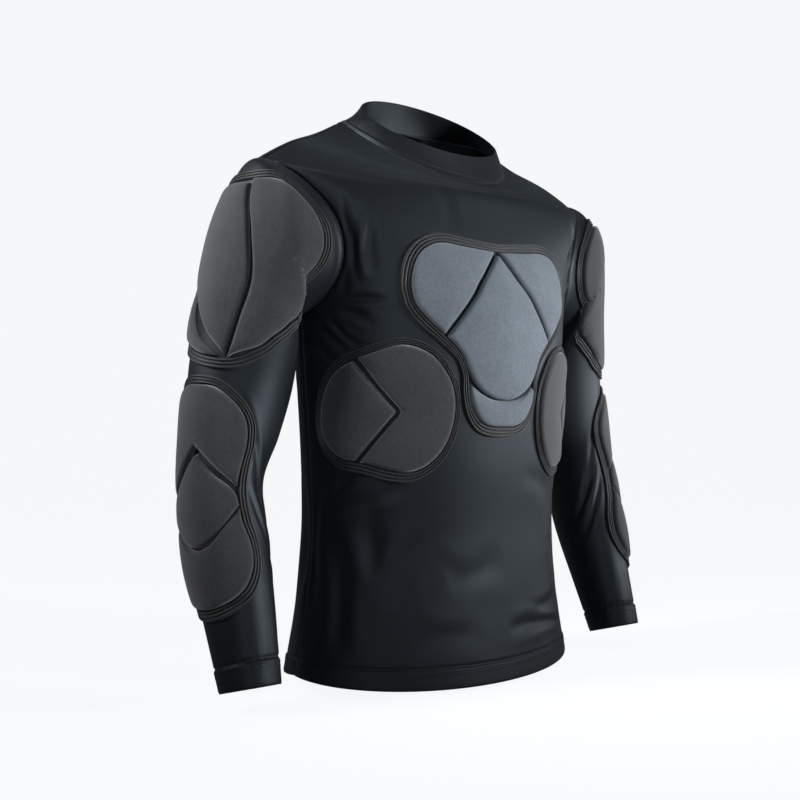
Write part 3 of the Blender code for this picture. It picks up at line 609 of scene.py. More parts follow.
SLEEVE_FOLDS = [
    Fold(60, 262, 128, 292, 6, 6.5, -2.2),
    Fold(84, 300, 142, 306, -5, 6.0, -2.7),
    Fold(78, 330, 136, 322, 5, 7.0, -2.1),
    Fold(-64, 284, -116, 312, 4, 7.5, -1.7),
    Fold(140, 40, 168, 96, 4, 5.0, -2.7),
    Fold(-146, 46, -170, 98, -4, 5.5, -2.5),
    Fold(112, 420, 96, 500, 4, 7.0, -1.8),
    Fold(-100, 500, -52, 516, 3, 6.0, -1.2),
    Fold(-96, 470, -70, 540, -3, 5.5, -1.5),
]


def relief(side, level, folds):
    """How far the folds move the cloth out, in millimetres."""
    total = np.zeros(side.shape)
    for fold in folds:
        run = np.array([fold.to_side - fold.side, fold.to_level - fold.level], float)
        long = np.linalg.norm(run)
        run /= long
        along = ((side - fold.side) * run[0] + (level - fold.level) * run[1]) / long
        t = np.clip(along, 0, 1)
        beside = (level - fold.level) * run[0] - (side - fold.side) * run[1]
        beside = (beside - fold.bow * 4 * t * (1 - t)) / (fold.width * (1 + 0.25 * np.sin(5 * t + long)))
        strength = np.sin(math.pi * t) ** 0.8 * (1 + 0.25 * np.sin(7 * t + 0.1 * long))
        trough = np.exp(-(beside**2)) - 0.32 * np.exp(-((np.abs(beside) - 2.0) ** 2))
        total += fold.depth * strength * trough
    return total


print("folds", len(FRONT_FOLDS), "front,", len(BACK_FOLDS), "back,", len(SLEEVE_FOLDS), "on each sleeve")


# %% [markdown]
# ## Front and back
# Each panel runs from hem to neckline. A seam draws the cloth into a narrow valley along its edges. The turned
# hem doubles the cloth, so it stands out a little below its seam and puckers there between the stitches.


# %% Body panels
HEM_DEPTH = 22.0
HEM_REACH = 15.0
SIDE_LENGTH = ARMPIT.edge_z - TORSO[0].edge_z
HEM_RISE = HEM_DEPTH / SIDE_LENGTH
NECK_SCALE = 45.0
FINE = 1.3
PUCKER_PITCH = 8.5
MIDDLE_OF_BODY = (0, 0, -400)


def valley(distance, width=2.4, depth=-1.2):
    """The dip of the cloth at a seam that lies at distance 0."""
    return depth * np.exp(-((distance / width) ** 2))


def turned_end(distance, around):
    """The doubled end of the cloth: distance is measured in from the end, in millimetres."""
    over = HEM_DEPTH - distance
    raised = 0.45 * (1 + np.tanh(over))
    pucker = 0.22 * np.sin(around * 2 * math.pi / PUCKER_PITCH) * np.exp(-((over / 6) ** 2))
    rounded_end = -0.7 * np.exp(-((distance / 1.3) ** 2))
    return raised + pucker + valley(over + 1.2, 1.5, -1.3) + rounded_end


RISES = np.linspace(0, 3, 301)
HALF_GIRTHS = {is_front: half_girth(RISES, is_front) for is_front in (True, False)}


def body_relief(rise, across, is_front):
    """Chalk marks of a panel's points, and how far each stands out from the plain curves."""
    half = np.interp(rise, RISES, HALF_GIRTHS[is_front])
    side = across * half
    level = torso_point(rise, across, is_front)[..., 2]
    out = relief(side, level, FRONT_FOLDS if is_front else BACK_FOLDS)
    out *= np.clip((half - np.abs(side)) / 8, 0, 1) * np.clip((3 - rise) * 6, 0, 1)
    out += valley(half - np.abs(side)) + valley((3 - rise) * NECK_SCALE)
    from_end = rise * SIDE_LENGTH
    out += np.where(from_end < HEM_DEPTH + HEM_REACH, turned_end(from_end, side), 0)
    return side, level, out


def stations(*stretches):
    """Rows at even steps from one end to the next, in stretches of (end, rows), closer together at the hem."""
    rows = [0.0]
    for end, count in stretches:
        rows += list(np.linspace(rows[-1], end, count)[1:])
    return np.array(rows)


def body_panel(name, is_front):
    rises = stations((FINE * HEM_RISE, 24), (1, 136), (2, 64), (3, 26))
    rise, across = np.meshgrid(rises, np.linspace(-1, 1, 129), indexing="ij")
    side, level, out = body_relief(rise, across, is_front)
    points = torso_skin(rise, across, out, is_front)
    return walled(piece_from(name, points, np.stack([side, level], axis=-1), MIDDLE_OF_BODY))


front = body_panel("front_cloth", True)
back = body_panel("back_cloth", False)


# %% [markdown]
# ## Sleeves
# The sleeve is one tube, set into the armhole. Its head is a little fuller than the hole it is sewn into, so the
# cloth rises just outside the seam. The grid is closed along the underarm, where the real seam is.


# %% Sleeves
SLEEVE_LINES, SLEEVE_GIRTHS = sleeve_lengths()
SLEEVE_LENGTH = SLEEVE_LINES[len(SLEEVE_TURNS) // 2, -1]


def sleeve_chalk(along, angle):
    """Chalk marks of sleeve points: forward of the outer line, and down from the armhole."""
    turn = np.mod(angle + math.pi, 2 * math.pi) - math.pi
    place = (turn - SLEEVE_TURNS[0]) / (SLEEVE_TURNS[1] - SLEEVE_TURNS[0])
    low = np.clip(place.astype(int), 0, len(SLEEVE_TURNS) - 2)
    share = place - low
    station = np.clip(along * (len(SLEEVE_STATIONS) - 1), 0, len(SLEEVE_STATIONS) - 1.001)
    row = station.astype(int)
    part = station - row
    down = 0
    for step, weight in ((0, 1 - share), (1, share)):
        line = SLEEVE_LINES[low + step, row] * (1 - part) + SLEEVE_LINES[low + step, row + 1] * part
        down = down + weight * line
    side = turn / (2 * math.pi) * np.interp(along, SLEEVE_STATIONS, SLEEVE_GIRTHS)
    return side, down


def sleeve_relief(along, angle):
    """How far each point of the sleeve stands out from the plain curves."""
    side, down = sleeve_chalk(along, angle)
    out = relief(side, down, SLEEVE_FOLDS) * np.clip(down / 14, 0, 1)
    out += valley(down) + 1.1 * np.exp(-(((down - 7) / 4) ** 2))
    from_end = (1 - along) * SLEEVE_LENGTH
    out += np.where(from_end < HEM_DEPTH + HEM_REACH, turned_end(from_end, side), 0)
    return out


def sleeve_cloth(name, mirror):
    cuff = 1 - FINE * HEM_DEPTH / SLEEVE_LENGTH
    rows = stations((0.08, 22), (cuff, 132), (1, 24))
    along, angle = np.meshgrid(rows, np.linspace(-math.pi, math.pi, 121), indexing="ij")
    points = sleeve_skin(along, angle, sleeve_relief(along, angle)) * [mirror, 1, 1]
    side = angle / (2 * math.pi) * np.interp(along, SLEEVE_STATIONS, SLEEVE_GIRTHS)
    chalk = np.stack([side, along * SLEEVE_LENGTH], axis=-1)
    return walled(piece_from(name, points, chalk, inside=points.mean(axis=(0, 1))))


sleeves = {"left": sleeve_cloth("sleeve_cloth_left", 1), "right": sleeve_cloth("sleeve_cloth_right", -1)}


# %% [markdown]
# ## Neckband
# The neckband is a strip of the same knit folded double and sewn to the neckline. Its section is drawn once, up
# the outside, over the soft fold at the rim and down the inside, and follows the neckline round. Its lower edge
# tucks in under the panels' cloth, so no slit opens at the seam, and a slight crease runs down its front.


# %% Neckband
COLLAR_HALF_WIDTH = 96.0
COLLAR_HALF_DEPTH = 66.0
COLLAR_MIDDLE_Y = 6.0
COLLAR_MIDDLE_Z = -8.0
COLLAR_TILT = 45.0
COLLAR_WALL = 2.6
COLLAR_FLATTER = 0.7
COLLAR_TUCK = 8.0
COLLAR_RADIUS = 70.0


def collar_point(up, turn):
    """The neckband: up 0 is its seam, 1 its rim; turn 0 is the front, half a turn is the back."""
    turn = np.mod(turn, 2 * math.pi)
    across_front = np.where(turn <= math.pi, turn, turn - 2 * math.pi) / (math.pi / 2)
    across_back = (math.pi - turn) / (math.pi / 2)
    front = torso_point(np.full(turn.shape, 3.0), np.clip(across_front, -1, 1), True)
    back = torso_point(np.full(turn.shape, 3.0), np.clip(across_back, -1, 1), False)
    seam = np.where((np.abs(across_front) <= 1)[..., None], front, back)
    rim = np.stack([
        COLLAR_HALF_WIDTH * np.sin(turn),
        COLLAR_MIDDLE_Y - COLLAR_HALF_DEPTH * np.cos(turn),
        COLLAR_MIDDLE_Z - COLLAR_TILT * np.cos(turn),
    ], axis=-1)
    return seam + (rim - seam) * np.asarray(up, float)[..., None]


def neckband():
    turns = np.linspace(0, 2 * math.pi, 241)
    ups = np.linspace(0, 1, 26)
    up, turn = np.meshgrid(ups, turns, indexing="ij")
    base = collar_point(up, turn)
    rise = collar_point(np.ones(turns.shape), turns) - collar_point(np.zeros(turns.shape), turns)
    high = np.linalg.norm(rise, axis=-1)
    rise /= high[:, None]
    toward = np.stack([-np.sin(turns), COLLAR_FLATTER * np.cos(turns), np.zeros(turns.shape)], axis=-1)
    toward /= np.linalg.norm(toward, axis=-1, keepdims=True)
    step = up * high
    side = (np.mod(turn + math.pi, 2 * math.pi) - math.pi) * COLLAR_RADIUS
    swell = 0.9 * np.sin(math.pi * up) + 0.9 * np.exp(-(((step - 3.2) / 1.8) ** 2))
    swell += valley(side + 5 * up, 3.5, -1.3) * np.sin(math.pi * up)
    swell += (valley(side - 88 - 9 * up, 6, -0.6) + valley(side + 96 - 8 * up, 7, -0.6)) * up
    outer = base - toward * swell[..., None]
    fold = np.radians(np.linspace(20, 160, 7))[:, None, None]
    rim = outer[-1] + rise * np.sin(fold) * COLLAR_WALL / 2 + toward * (1 - np.cos(fold)) * COLLAR_WALL / 2
    inner = (base + toward * COLLAR_WALL)[::-1]
    tuck = base[:1] + toward * COLLAR_WALL / 2 - rise * COLLAR_TUCK
    section = np.concatenate([tuck, outer, rim, inner, tuck])
    run = np.concatenate([[0], np.cumsum(np.linalg.norm(np.diff(section, axis=0), axis=2).mean(axis=1))])
    around = run_of(base[12])[-1] * turns / (2 * math.pi)
    chalk = np.stack(np.broadcast_arrays(around[None, :], run[:, None]), axis=-1)
    print("neckband height in mm", round(high.min()), "to", round(high.max()))
    return piece_from("neckband", section, chalk)


neckband_piece = neckband()


# %% [markdown]
# ## Pad outlines
# The pads are chalked on the cloth as flat outlines, taken from the photo with the fitted camera. An outline
# flows through its points, and keeps a corner only where it turns sharply. Each pad has a corded border, and
# inside it cells of foam that grooves part from each other.


# %% Pad outlines
# Each outline gives the side, the level and the band, which is the width of its border there. A cell shares
# most points with its pad's outline and takes them from there.
Edge = namedtuple("Edge", "side level band")


def part_of(outline, first, last):
    """The side and level of an outline's points, from one place in it to another."""
    return [(edge.side, edge.level) for edge in outline[first:last + 1]]


CHEST_HALF = [
    Edge(0, -178, 11), Edge(45, -175, 11), Edge(84, -173, 11), Edge(104, -184, 12), Edge(116, -207, 12),
    Edge(117, -240, 11), Edge(101, -261, 11), Edge(80, -280, 9), Edge(59, -302, 7), Edge(51, -322, 7),
    Edge(49, -342, 8), Edge(43, -363, 9), Edge(29, -379, 11), Edge(0, -383, 12),
]
CHEST_CELLS = {
    "upper": [(2, -178), *part_of(CHEST_HALF, 1, 6), (81, -279)],
    "middle_half": [(0, -180), (79, -280), (59, -302), (51, -320), (43, -333), (23, -348), (0, -352)],
    "lower_half": [(0, -352), (23, -348), (47, -335), *part_of(CHEST_HALF, 10, 13)],
}
RIB = [
    Edge(65, -367, 6), Edge(68, -338, 6), Edge(79, -317, 6), Edge(94, -301, 7), Edge(112, -292, 7),
    Edge(130, -289, 7), Edge(148, -293, 8), Edge(168, -300, 8), Edge(186, -307, 9), Edge(202, -316, 9),
    Edge(215, -332, 9), Edge(223, -362, 9), Edge(219, -392, 9), Edge(205, -411, 10), Edge(190, -420, 11),
    Edge(172, -423, 12), Edge(155, -427, 12), Edge(137, -432, 12), Edge(115, -434, 11), Edge(99, -429, 9),
    Edge(83, -416, 8), Edge(72, -398, 7),
]
RIB_CELLS = {
    "outer": [(184, -307), (202, -316), (215, -332), (223, -362), (219, -392), (205, -411), (190, -420),
              (176, -422), (148, -386), (132, -365), (156, -338)],
    "inner": [(180, -304), (153, -338), (128, -365), (145, -386), *part_of(RIB, 15, 21), *part_of(RIB, 0, 7)],
}
SHOULDER = [
    Edge(22, 44, 10), Edge(60, 37, 10), Edge(92, 30, 10), Edge(125, 24, 10), Edge(150, 28, 10),
    Edge(168, 42, 10), Edge(171, 64, 10), Edge(153, 91, 11), Edge(130, 120, 12), Edge(104, 161, 12),
    Edge(78, 206, 12), Edge(48, 240, 12), Edge(20, 246, 12), Edge(-8, 238, 12), Edge(-38, 212, 12),
    Edge(-66, 170, 11), Edge(-90, 120, 11), Edge(-100, 80, 10), Edge(-88, 50, 10), Edge(-58, 42, 10),
    Edge(-20, 44, 10),
]
SHOULDER_CELLS = {
    "front": [(34, 42), *part_of(SHOULDER, 1, 10), (47, 241), (56, 190), (65, 140), (54, 98), (40, 68)],
    "middle": [(31, 47), (38, 68), (52, 98), (62, 140), (54, 190), (45, 240), (18, 220), (-18, 170),
               (-34, 140), (-40, 100), (-34, 66), (-25, 48)],
    "back": [(-29, 44), (-42, 66), (-50, 100), (-47, 140), (-30, 178), (9, 227), (38, 243), (20, 246),
             (-8, 237), (-37, 211), (-63, 169), (-87, 119), (-96, 80), (-85, 53), (-58, 45)],
}
FOREARM = [
    Edge(18, 279, 10), Edge(40, 281, 10), Edge(60, 296, 10), Edge(72, 318, 9), Edge(74, 350, 9),
    Edge(69, 382, 10), Edge(65, 412, 11), Edge(67, 445, 11), Edge(73, 478, 10), Edge(69, 502, 10),
    Edge(52, 524, 11), Edge(18, 534, 12), Edge(-16, 524, 11), Edge(-33, 502, 10), Edge(-37, 478, 10),
    Edge(-31, 445, 11), Edge(-29, 412, 11), Edge(-33, 382, 10), Edge(-38, 350, 9), Edge(-36, 318, 9),
    Edge(-24, 296, 10), Edge(-4, 281, 10),
]
FOREARM_CELLS = {
    "upper": [*part_of(FOREARM, 0, 5), (64, 406), (42, 382), (18, 352), (-6, 382), (-28, 406),
              *part_of(FOREARM, 17, 21)],
    "middle": [(18, 358), (40, 386), (62, 412), (66, 428), (46, 450), (30, 464), (18, 467), (6, 464),
               (-10, 450), (-30, 428), (-26, 412), (-4, 386)],
    "lower": [(-30, 430), (-10, 450), (6, 464), (18, 467), (30, 464), (46, 450), (66, 430),
              *part_of(FOREARM, 7, 15)],
}


def flowing(points, sharp=48.0, pieces=9):
    """A closed outline that flows through its points and keeps its sharp corners."""
    points = np.asarray(points, float)
    flat = points[:, :2]
    way_out = np.roll(flat, -1, axis=0) - flat
    long = np.linalg.norm(way_out, axis=1, keepdims=True)
    ahead = way_out / long
    behind = np.roll(ahead, 1, axis=0)
    turned = np.degrees(np.arccos(np.clip((ahead * behind).sum(axis=1), -1, 1)))
    mean_way = ahead + behind
    mean_way /= np.maximum(np.linalg.norm(mean_way, axis=1, keepdims=True), 1e-6)
    is_corner = (turned > sharp)[:, None]
    leaving = np.where(is_corner, ahead, mean_way) * long
    arriving = np.where(np.roll(is_corner, -1, axis=0), ahead, np.roll(mean_way, -1, axis=0)) * long
    following = np.roll(points, -1, axis=0)
    drawn = []
    for t in np.arange(pieces) / pieces:
        spot = points + (following - points) * t
        spot[:, :2] = hermite(t, flat, following[:, :2], leaving, arriving)
        drawn.append(spot)
    return np.stack(drawn, axis=1).reshape(-1, points.shape[1])


def rounded(points, most=0.3):
    """A closed outline with its corners cut back twice, at most by a share of a side."""
    points = np.asarray(points, float)
    for reach in (1.6, 0.8):
        after = np.roll(points, -1, axis=0)
        length = np.linalg.norm((after - points)[:, :2], axis=1, keepdims=True)
        share = np.minimum(reach / length, most)
        points = np.stack([points + (after - points) * share, after + (points - after) * share], axis=1)
        points = points.reshape(-1, points.shape[2])
    return points


def evenly(points, count):
    """A closed outline shared out into stations of equal length. Columns past the second ride along."""
    closed = np.vstack([points, points[:1]])
    length = run_of(closed[:, :2])
    at = np.linspace(0, length[-1], count + 1)[:-1]
    return np.stack([np.interp(at, length, closed[:, k]) for k in range(points.shape[1])], axis=1)


def outward(points):
    """Unit vectors square to a closed outline, pointing away from its inside."""
    tangent = np.roll(points, -1, axis=0) - np.roll(points, 1, axis=0)
    normal = np.stack([tangent[:, 1], -tangent[:, 0]], axis=1)
    normal /= np.linalg.norm(normal, axis=1, keepdims=True)
    after = np.roll(points, -1, axis=0)
    area = (points[:, 0] * after[:, 1] - after[:, 0] * points[:, 1]).sum()
    return normal * np.sign(area)


def both_halves(half):
    """An outline made whole from the half on the +X side."""
    mirrored = [(-p[0],) + tuple(p[1:]) for p in reversed(half) if p[0] > 0.5]
    return [tuple(p) for p in half] + mirrored


print("cells", 4 + 2 * (len(RIB_CELLS) + len(SHOULDER_CELLS) + len(FOREARM_CELLS)))


# %% [markdown]
# ## Laying a pad on the cloth
# A pad is drawn flat and laid on the cloth, so it bends with the chest or the arm. One cell in the shoulder pad
# is long and bent. It is first straightened along a guide line, so that its rings shrink towards its middle
# without crossing, and then bent back.


# %% Laying pads
# A cell is drawn in towards its middle. A hollow cell has a chosen middle, and a long bent one a guide line.
CHEST_LOWER_MIDDLE = (0, -369)
FOREARM_LOWER_MIDDLE = (18, 486)
SHOULDER_BACK_SPINE = [(-57, 38), (-71, 85), (-66, 130), (-47, 176), (-12, 218), (42, 248)]
SPINE_STEPS = 900


def spine_frame(spine):
    """Close points on a bent guide line, their unit vectors to its left, and the lengths along it."""
    line = smooth(np.linspace(0, 1, len(spine)), spine, np.linspace(0, 1, SPINE_STEPS))
    ahead = np.gradient(line, axis=0)
    ahead /= np.linalg.norm(ahead, axis=1, keepdims=True)
    left = np.stack([-ahead[:, 1], ahead[:, 0]], axis=1)
    return line, left, run_of(line)


def straightened(points, spine):
    """Flat points given instead by the length along a guide line and the distance left of it."""
    line, left, length = spine_frame(spine)
    nearest = np.linalg.norm(points[:, None] - line[None], axis=2).argmin(axis=1)
    beside = ((points - line[nearest]) * left[nearest]).sum(axis=1)
    return np.stack([length[nearest], beside], axis=1)


def bent_back(points, spine):
    """The flat points of lengths along a guide line and distances left of it."""
    line, left, length = spine_frame(spine)
    foot = np.stack([np.interp(points[:, 0], length, line[:, k]) for k in (0, 1)], axis=1)
    side = np.stack([np.interp(points[:, 0], length, left[:, k]) for k in (0, 1)], axis=1)
    return foot + side * points[:, 1:]


ON_BODY = (on_torso, torso_skin)
ON_UPPER_ARM = (on_sleeve, sleeve_skin)
ON_FOREARM = (down_the_arm, sleeve_skin)


def laid(cloth, points, out, mirror=1):
    """Flat pad points laid on the cloth and moved out from it."""
    chart, skin = cloth
    first, second = chart(points[..., 0], points[..., 1])
    return skin(first, second, out) * [mirror, 1, 1]


# %% [markdown]
# ## Foam cells
# A cell is moulded foam under a thin cover. Its side stands up from the groove, turns over a small round shoulder
# and rises to a soft crown. The height at each point comes from its distance to the outline, so narrow tips stay
# lower than broad middles, as moulded foam does. Each ring's heights are then evened out, so that no ridge runs
# to a tip. Pressure simulation suits stuffed cushions, but would round off the crisp edge that these cells have.


# %% Foam cells
GROOVE = 2.0
PAD_BED = 0.3
SIDE_HEIGHT = 2.2
EDGE_HEIGHT = 6.6
EDGE_RADIUS = 4.6
CROWN = 3.0
CROWN_REACH = 24.0
EVENING = 40
CELL_STATIONS = 72
CELL_STEP = 3.0
UNDERSIDE = [0, 0.4, 0.8, 1]
TOP = [1, 0.985, 0.97, 0.95, 0.925, 0.9, 0.87, 0.83, 0.78, 0.7, 0.6, 0.5, 0.4, 0.3, 0.2, 0.1, 0]


def to_edge(points, edge):
    """Distance of flat points from a closed outline."""
    ends = np.roll(edge, -1, axis=0) - edge
    share = ((points[..., None, :] - edge) * ends).sum(axis=-1) / (ends**2).sum(axis=-1)
    nearest = edge + np.clip(share, 0, 1)[..., None] * ends
    return np.linalg.norm(points[..., None, :] - nearest, axis=-1).min(axis=-1)


def crown_height(distance):
    """Height of a cell's cover at a distance from its edge."""
    over = 1 - np.clip(distance / EDGE_RADIUS, 0, 1)
    shoulder = SIDE_HEIGHT + (EDGE_HEIGHT - SIDE_HEIGHT) * np.sqrt(1 - over**2)
    return shoulder + CROWN * (1 - np.exp(-distance / CROWN_REACH))


def closed_round(rings):
    """Rings whose first column comes again at the end."""
    return np.concatenate([rings, rings[:, :1]], axis=1)


def evened(heights, rounds):
    """Heights round a ring, each drawn towards its neighbours again and again, so that no ridge is left."""
    for _ in range(rounds):
        heights = (np.roll(heights, -1) + 2 * heights + np.roll(heights, 1)) / 4
    return heights


def cell(name, outline, cloth, mirror=1, spine=None, middle=None):
    edge = rounded(flowing(outline))
    edge = evenly(edge, max(CELL_STATIONS, round(run_of(np.vstack([edge, edge[:1]]))[-1] / CELL_STEP)))
    away = sum(np.roll(outward(edge), shift, axis=0) for shift in (-2, -1, 0, 1, 2)) / 5
    edge = edge - away * GROOVE / 2
    drawn = edge if spine is None else straightened(edge, spine)
    centre = drawn.mean(axis=0) if middle is None else np.array(middle, float)
    chalk = []
    heights = []
    for reach, on_top in [(reach, False) for reach in UNDERSIDE] + [(reach, True) for reach in TOP]:
        flat = centre + (drawn - centre) * reach
        if spine is not None:
            flat = bent_back(flat, spine)
        chalk.append(flat)
        cover = evened(crown_height(to_edge(flat, edge)), round(EVENING * (1 - reach)))
        heights.append(cover if on_top else np.zeros(len(flat)))
    chalk = closed_round(np.stack(chalk))
    points = laid(cloth, chalk, PAD_BED + closed_round(np.stack(heights)), mirror)
    return piece_from(name, points, chalk)


print("rings of a cell", len(UNDERSIDE) + len(TOP))


# %% [markdown]
# ## Corded borders
# Round each pad runs a strip with three cords stitched into it. The strip is a closed band: its section has three
# round ribs, and widens and narrows with the outline, as in the photo. A flat drawing stretches where the sleeve
# turns away, so the stretch is measured beside each station and the band narrowed by it, which keeps it even.


# %% Corded borders
BORDER_BASE = 1.4
CORD_HEIGHT = 1.7
CORDS = 3
BORDER_START = 0.1
BAND_PROBE = 6.0
BORDER_STEP = 2.6
CORD_CHALK = 10.0


def true_band(cloth, edge, away):
    """The band's width at each station as drawn flat, where the flat drawing stretches on the cloth."""
    bare = np.zeros(len(edge))
    beside = laid(cloth, edge[:, :2] + away * BAND_PROBE, bare)
    stretch = np.linalg.norm(beside - laid(cloth, edge[:, :2], bare), axis=1) / BAND_PROBE
    stretch = (np.roll(stretch, 1) + stretch + np.roll(stretch, -1)) / 3
    return edge[:, 2:3] / np.maximum(stretch, 1)[:, None]


def border(name, outline, cloth, mirror=1):
    edge = rounded(flowing(outline, sharp=75))
    girth = run_of(edge[:, :2])[-1]
    edge = evenly(edge, round(girth / BORDER_STEP))
    away = outward(edge[:, :2])
    band = true_band(cloth, edge, away)
    shares = np.linspace(0, 1, 31)
    ribs = BORDER_BASE + CORD_HEIGHT * np.abs(np.sin(CORDS * math.pi * shares)) ** 0.7
    section = [(0.0, 0.0), *zip(shares, ribs), (1.0, 0.0), (0.0, 0.0)]
    flat = [edge[:, :2] + away * (BORDER_START + share * band) for share, _ in section]
    high = np.array([[PAD_BED + high] for _, high in section]) + np.zeros(len(edge))
    points = laid(cloth, np.stack(flat), high, mirror).transpose(1, 0, 2)
    points = np.concatenate([points, points[:1]])
    run = np.append(run_of(edge[:, :2]), girth)
    across = np.linspace(0, CORD_CHALK, points.shape[1])
    chalk = np.stack(np.broadcast_arrays(run[:, None], across[None, :]), axis=-1)
    print(name, "length in mm", round(girth))
    return piece_from(name, points, chalk)


# %% Make the pads
chest_cells = {
    "left": cell("chest_cell_left", CHEST_CELLS["upper"], ON_BODY),
    "right": cell("chest_cell_right", CHEST_CELLS["upper"], ON_BODY, -1),
    "middle": cell("chest_cell_middle", both_halves(CHEST_CELLS["middle_half"]), ON_BODY),
    "lower": cell(
        "chest_cell_lower", both_halves(CHEST_CELLS["lower_half"]), ON_BODY, middle=CHEST_LOWER_MIDDLE
    ),
}
borders = {"chest_border": border("chest_cord", both_halves(CHEST_HALF), ON_BODY)}
dark_cells = {}
SIDE_PADS = [
    ("rib", RIB, RIB_CELLS, ON_BODY),
    ("shoulder", SHOULDER, SHOULDER_CELLS, ON_UPPER_ARM),
    ("forearm", FOREARM, FOREARM_CELLS, ON_FOREARM),
]
for side, mirror in (("left", 1), ("right", -1)):
    for pad, outline, cells, cloth in SIDE_PADS:
        borders[f"{pad}_border_{side}"] = border(f"{pad}_cord_{side}", outline, cloth, mirror)
        for place, points in cells.items():
            spine = SHOULDER_BACK_SPINE if (pad, place) == ("shoulder", "back") else None
            middle = FOREARM_LOWER_MIDDLE if (pad, place) == ("forearm", "lower") else None
            made = cell(f"{pad}_cell_{place}_{side}", points, cloth, mirror, spine, middle)
            dark_cells[f"{pad}_pad_{place}_{side}"] = made
print("pads made of", len(chest_cells) + len(dark_cells), "cells and", len(borders), "borders")


# %% [markdown]
# ## Stitches
# Hem and cuffs are held by twin rows of stitches, and a row runs beside each of the long seams. Each stitch is a
# tiny grain of thread, half sunk in the cloth. All grains of one seam are one piece, with few faces each.


# %% Stitches
STITCH_PITCH = 3.6
STITCH_LENGTH = 2.6
THREAD = 0.42
PROUD = 0.1
BESIDE_SEAM = 4.0
TWIN_ROWS = (HEM_DEPTH - 3.0, HEM_DEPTH - 6.5)
BESIDE_NECK = 4.5


def stitch_places(points):
    """Where the stitches along a line of points in millimetres lie, each turned along the line."""
    run = run_of(points)
    grain = Matrix.Diagonal((STITCH_LENGTH / 2 * MM, THREAD * MM, THREAD * MM, 1))
    places = []
    for spot in np.arange(STITCH_PITCH / 2, run[-1], STITCH_PITCH):
        ends = [Vector([np.interp(spot + d, run, points[:, k]) for k in range(3)]) for d in (-1, 1)]
        turn = (ends[1] - ends[0]).to_track_quat("X", "Z").to_matrix().to_4x4()
        places.append(Matrix.Translation((ends[1] + ends[0]) / 2 * MM) @ turn @ grain)
    return places


def stitched(name, lines):
    """One piece of all the stitches along some lines, each a copy of one grain."""
    places = [place for line in lines for place in stitch_places(line)]
    shape = bmesh.new()
    bmesh.ops.create_uvsphere(shape, u_segments=6, v_segments=4, radius=1)
    grain = bpy.data.meshes.new("grain")
    shape.to_mesh(grain)
    shape.free()
    bm = bmesh.new()
    for place in places:
        sewn_in = grain.copy()
        sewn_in.transform(place)
        bm.from_mesh(sewn_in)
        bpy.data.meshes.remove(sewn_in)
    bpy.data.meshes.remove(grain)
    piece = object_from(bm, name)
    print(name, len(places), "stitches")
    return piece


print("a stitch every", STITCH_PITCH, "mm")


# %% Seams to sew
HALF_TURN = np.linspace(-math.pi, math.pi, 181)
ACROSS = np.linspace(-0.995, 0.995, 160)


def on_panel(rise, across, is_front):
    """A line of stitches' places on a panel with its folds."""
    return torso_skin(rise, across, body_relief(rise, across, is_front)[2] + PROUD, is_front)


def on_arm(along, mirror):
    """A ring of stitches' places on a sleeve with its folds."""
    return sleeve_skin(along, HALF_TURN, sleeve_relief(along, HALF_TURN) + PROUD) * [mirror, 1, 1]


def level_rows(rises, across):
    """Lines across both panels, at the given rises."""
    levels = [np.full(across.shape, rise) for rise in rises]
    return [on_panel(level, across, is_front) for is_front in (True, False) for level in levels]


def side_rows(mirror):
    """Lines beside the side seam on both panels."""
    rise = np.linspace(HEM_RISE, 0.98, 90)
    insets = [(is_front, 1 - BESIDE_SEAM / half_girth(rise, is_front)) for is_front in (True, False)]
    return [on_panel(rise, inset * mirror, is_front) for is_front, inset in insets]


stitches = [
    stitched("hem_stitches", level_rows([row / SIDE_LENGTH for row in TWIN_ROWS], ACROSS)),
    stitched("neck_stitches", level_rows([3 - BESIDE_NECK / NECK_SCALE], ACROSS * 0.97)),
]
for side, mirror in (("left", 1), ("right", -1)):
    beside_seam = [np.interp(BESIDE_SEAM, line, SLEEVE_STATIONS) for line in SLEEVE_LINES]
    armhole = on_arm(np.interp(HALF_TURN, SLEEVE_TURNS, beside_seam), mirror)
    cuff = [on_arm(np.full(HALF_TURN.shape, 1 - row / SLEEVE_LENGTH), mirror) for row in TWIN_ROWS]
    for seam, rows in (("armhole", [armhole]), ("cuff", cuff), ("side", side_rows(mirror))):
        stitches.append(stitched(f"{seam}_stitches_{side}", rows))


# %% [markdown]
# ## Shader maths in Python
# A material is a net of nodes, and a formula in it takes many of them. The small class below wraps a socket, so a
# formula is written as in Python, and each operator adds its Math node. Colours and vectors have methods of
# their own, because a Math node would turn a colour grey.


# %% Shader maths
class Wire:
    """A socket of a material, for use in formulas."""

    def __init__(self, finish, socket):
        self.finish = finish
        self.socket = socket

    def maths(self, operation, *others):
        return self.finish.node("ShaderNodeMath", {"operation": operation}, *others)

    def __add__(self, other):
        return self.maths("ADD", self, other)

    def __sub__(self, other):
        return self.maths("SUBTRACT", self, other)

    def __rsub__(self, other):
        return self.maths("SUBTRACT", other, self)

    def __mul__(self, other):
        return self.maths("MULTIPLY", self, other)

    def __truediv__(self, other):
        return self.maths("DIVIDE", self, other)

    def __abs__(self):
        return self.maths("ABSOLUTE", self)

    __radd__ = __add__
    __rmul__ = __mul__

    def wave(self):
        """A wave from 0 to 1, one for each unit."""
        return (self * (2 * math.pi)).maths_of("SINE") * 0.5 + 0.5

    def maths_of(self, operation, *others):
        return self.maths(operation, self, *others)


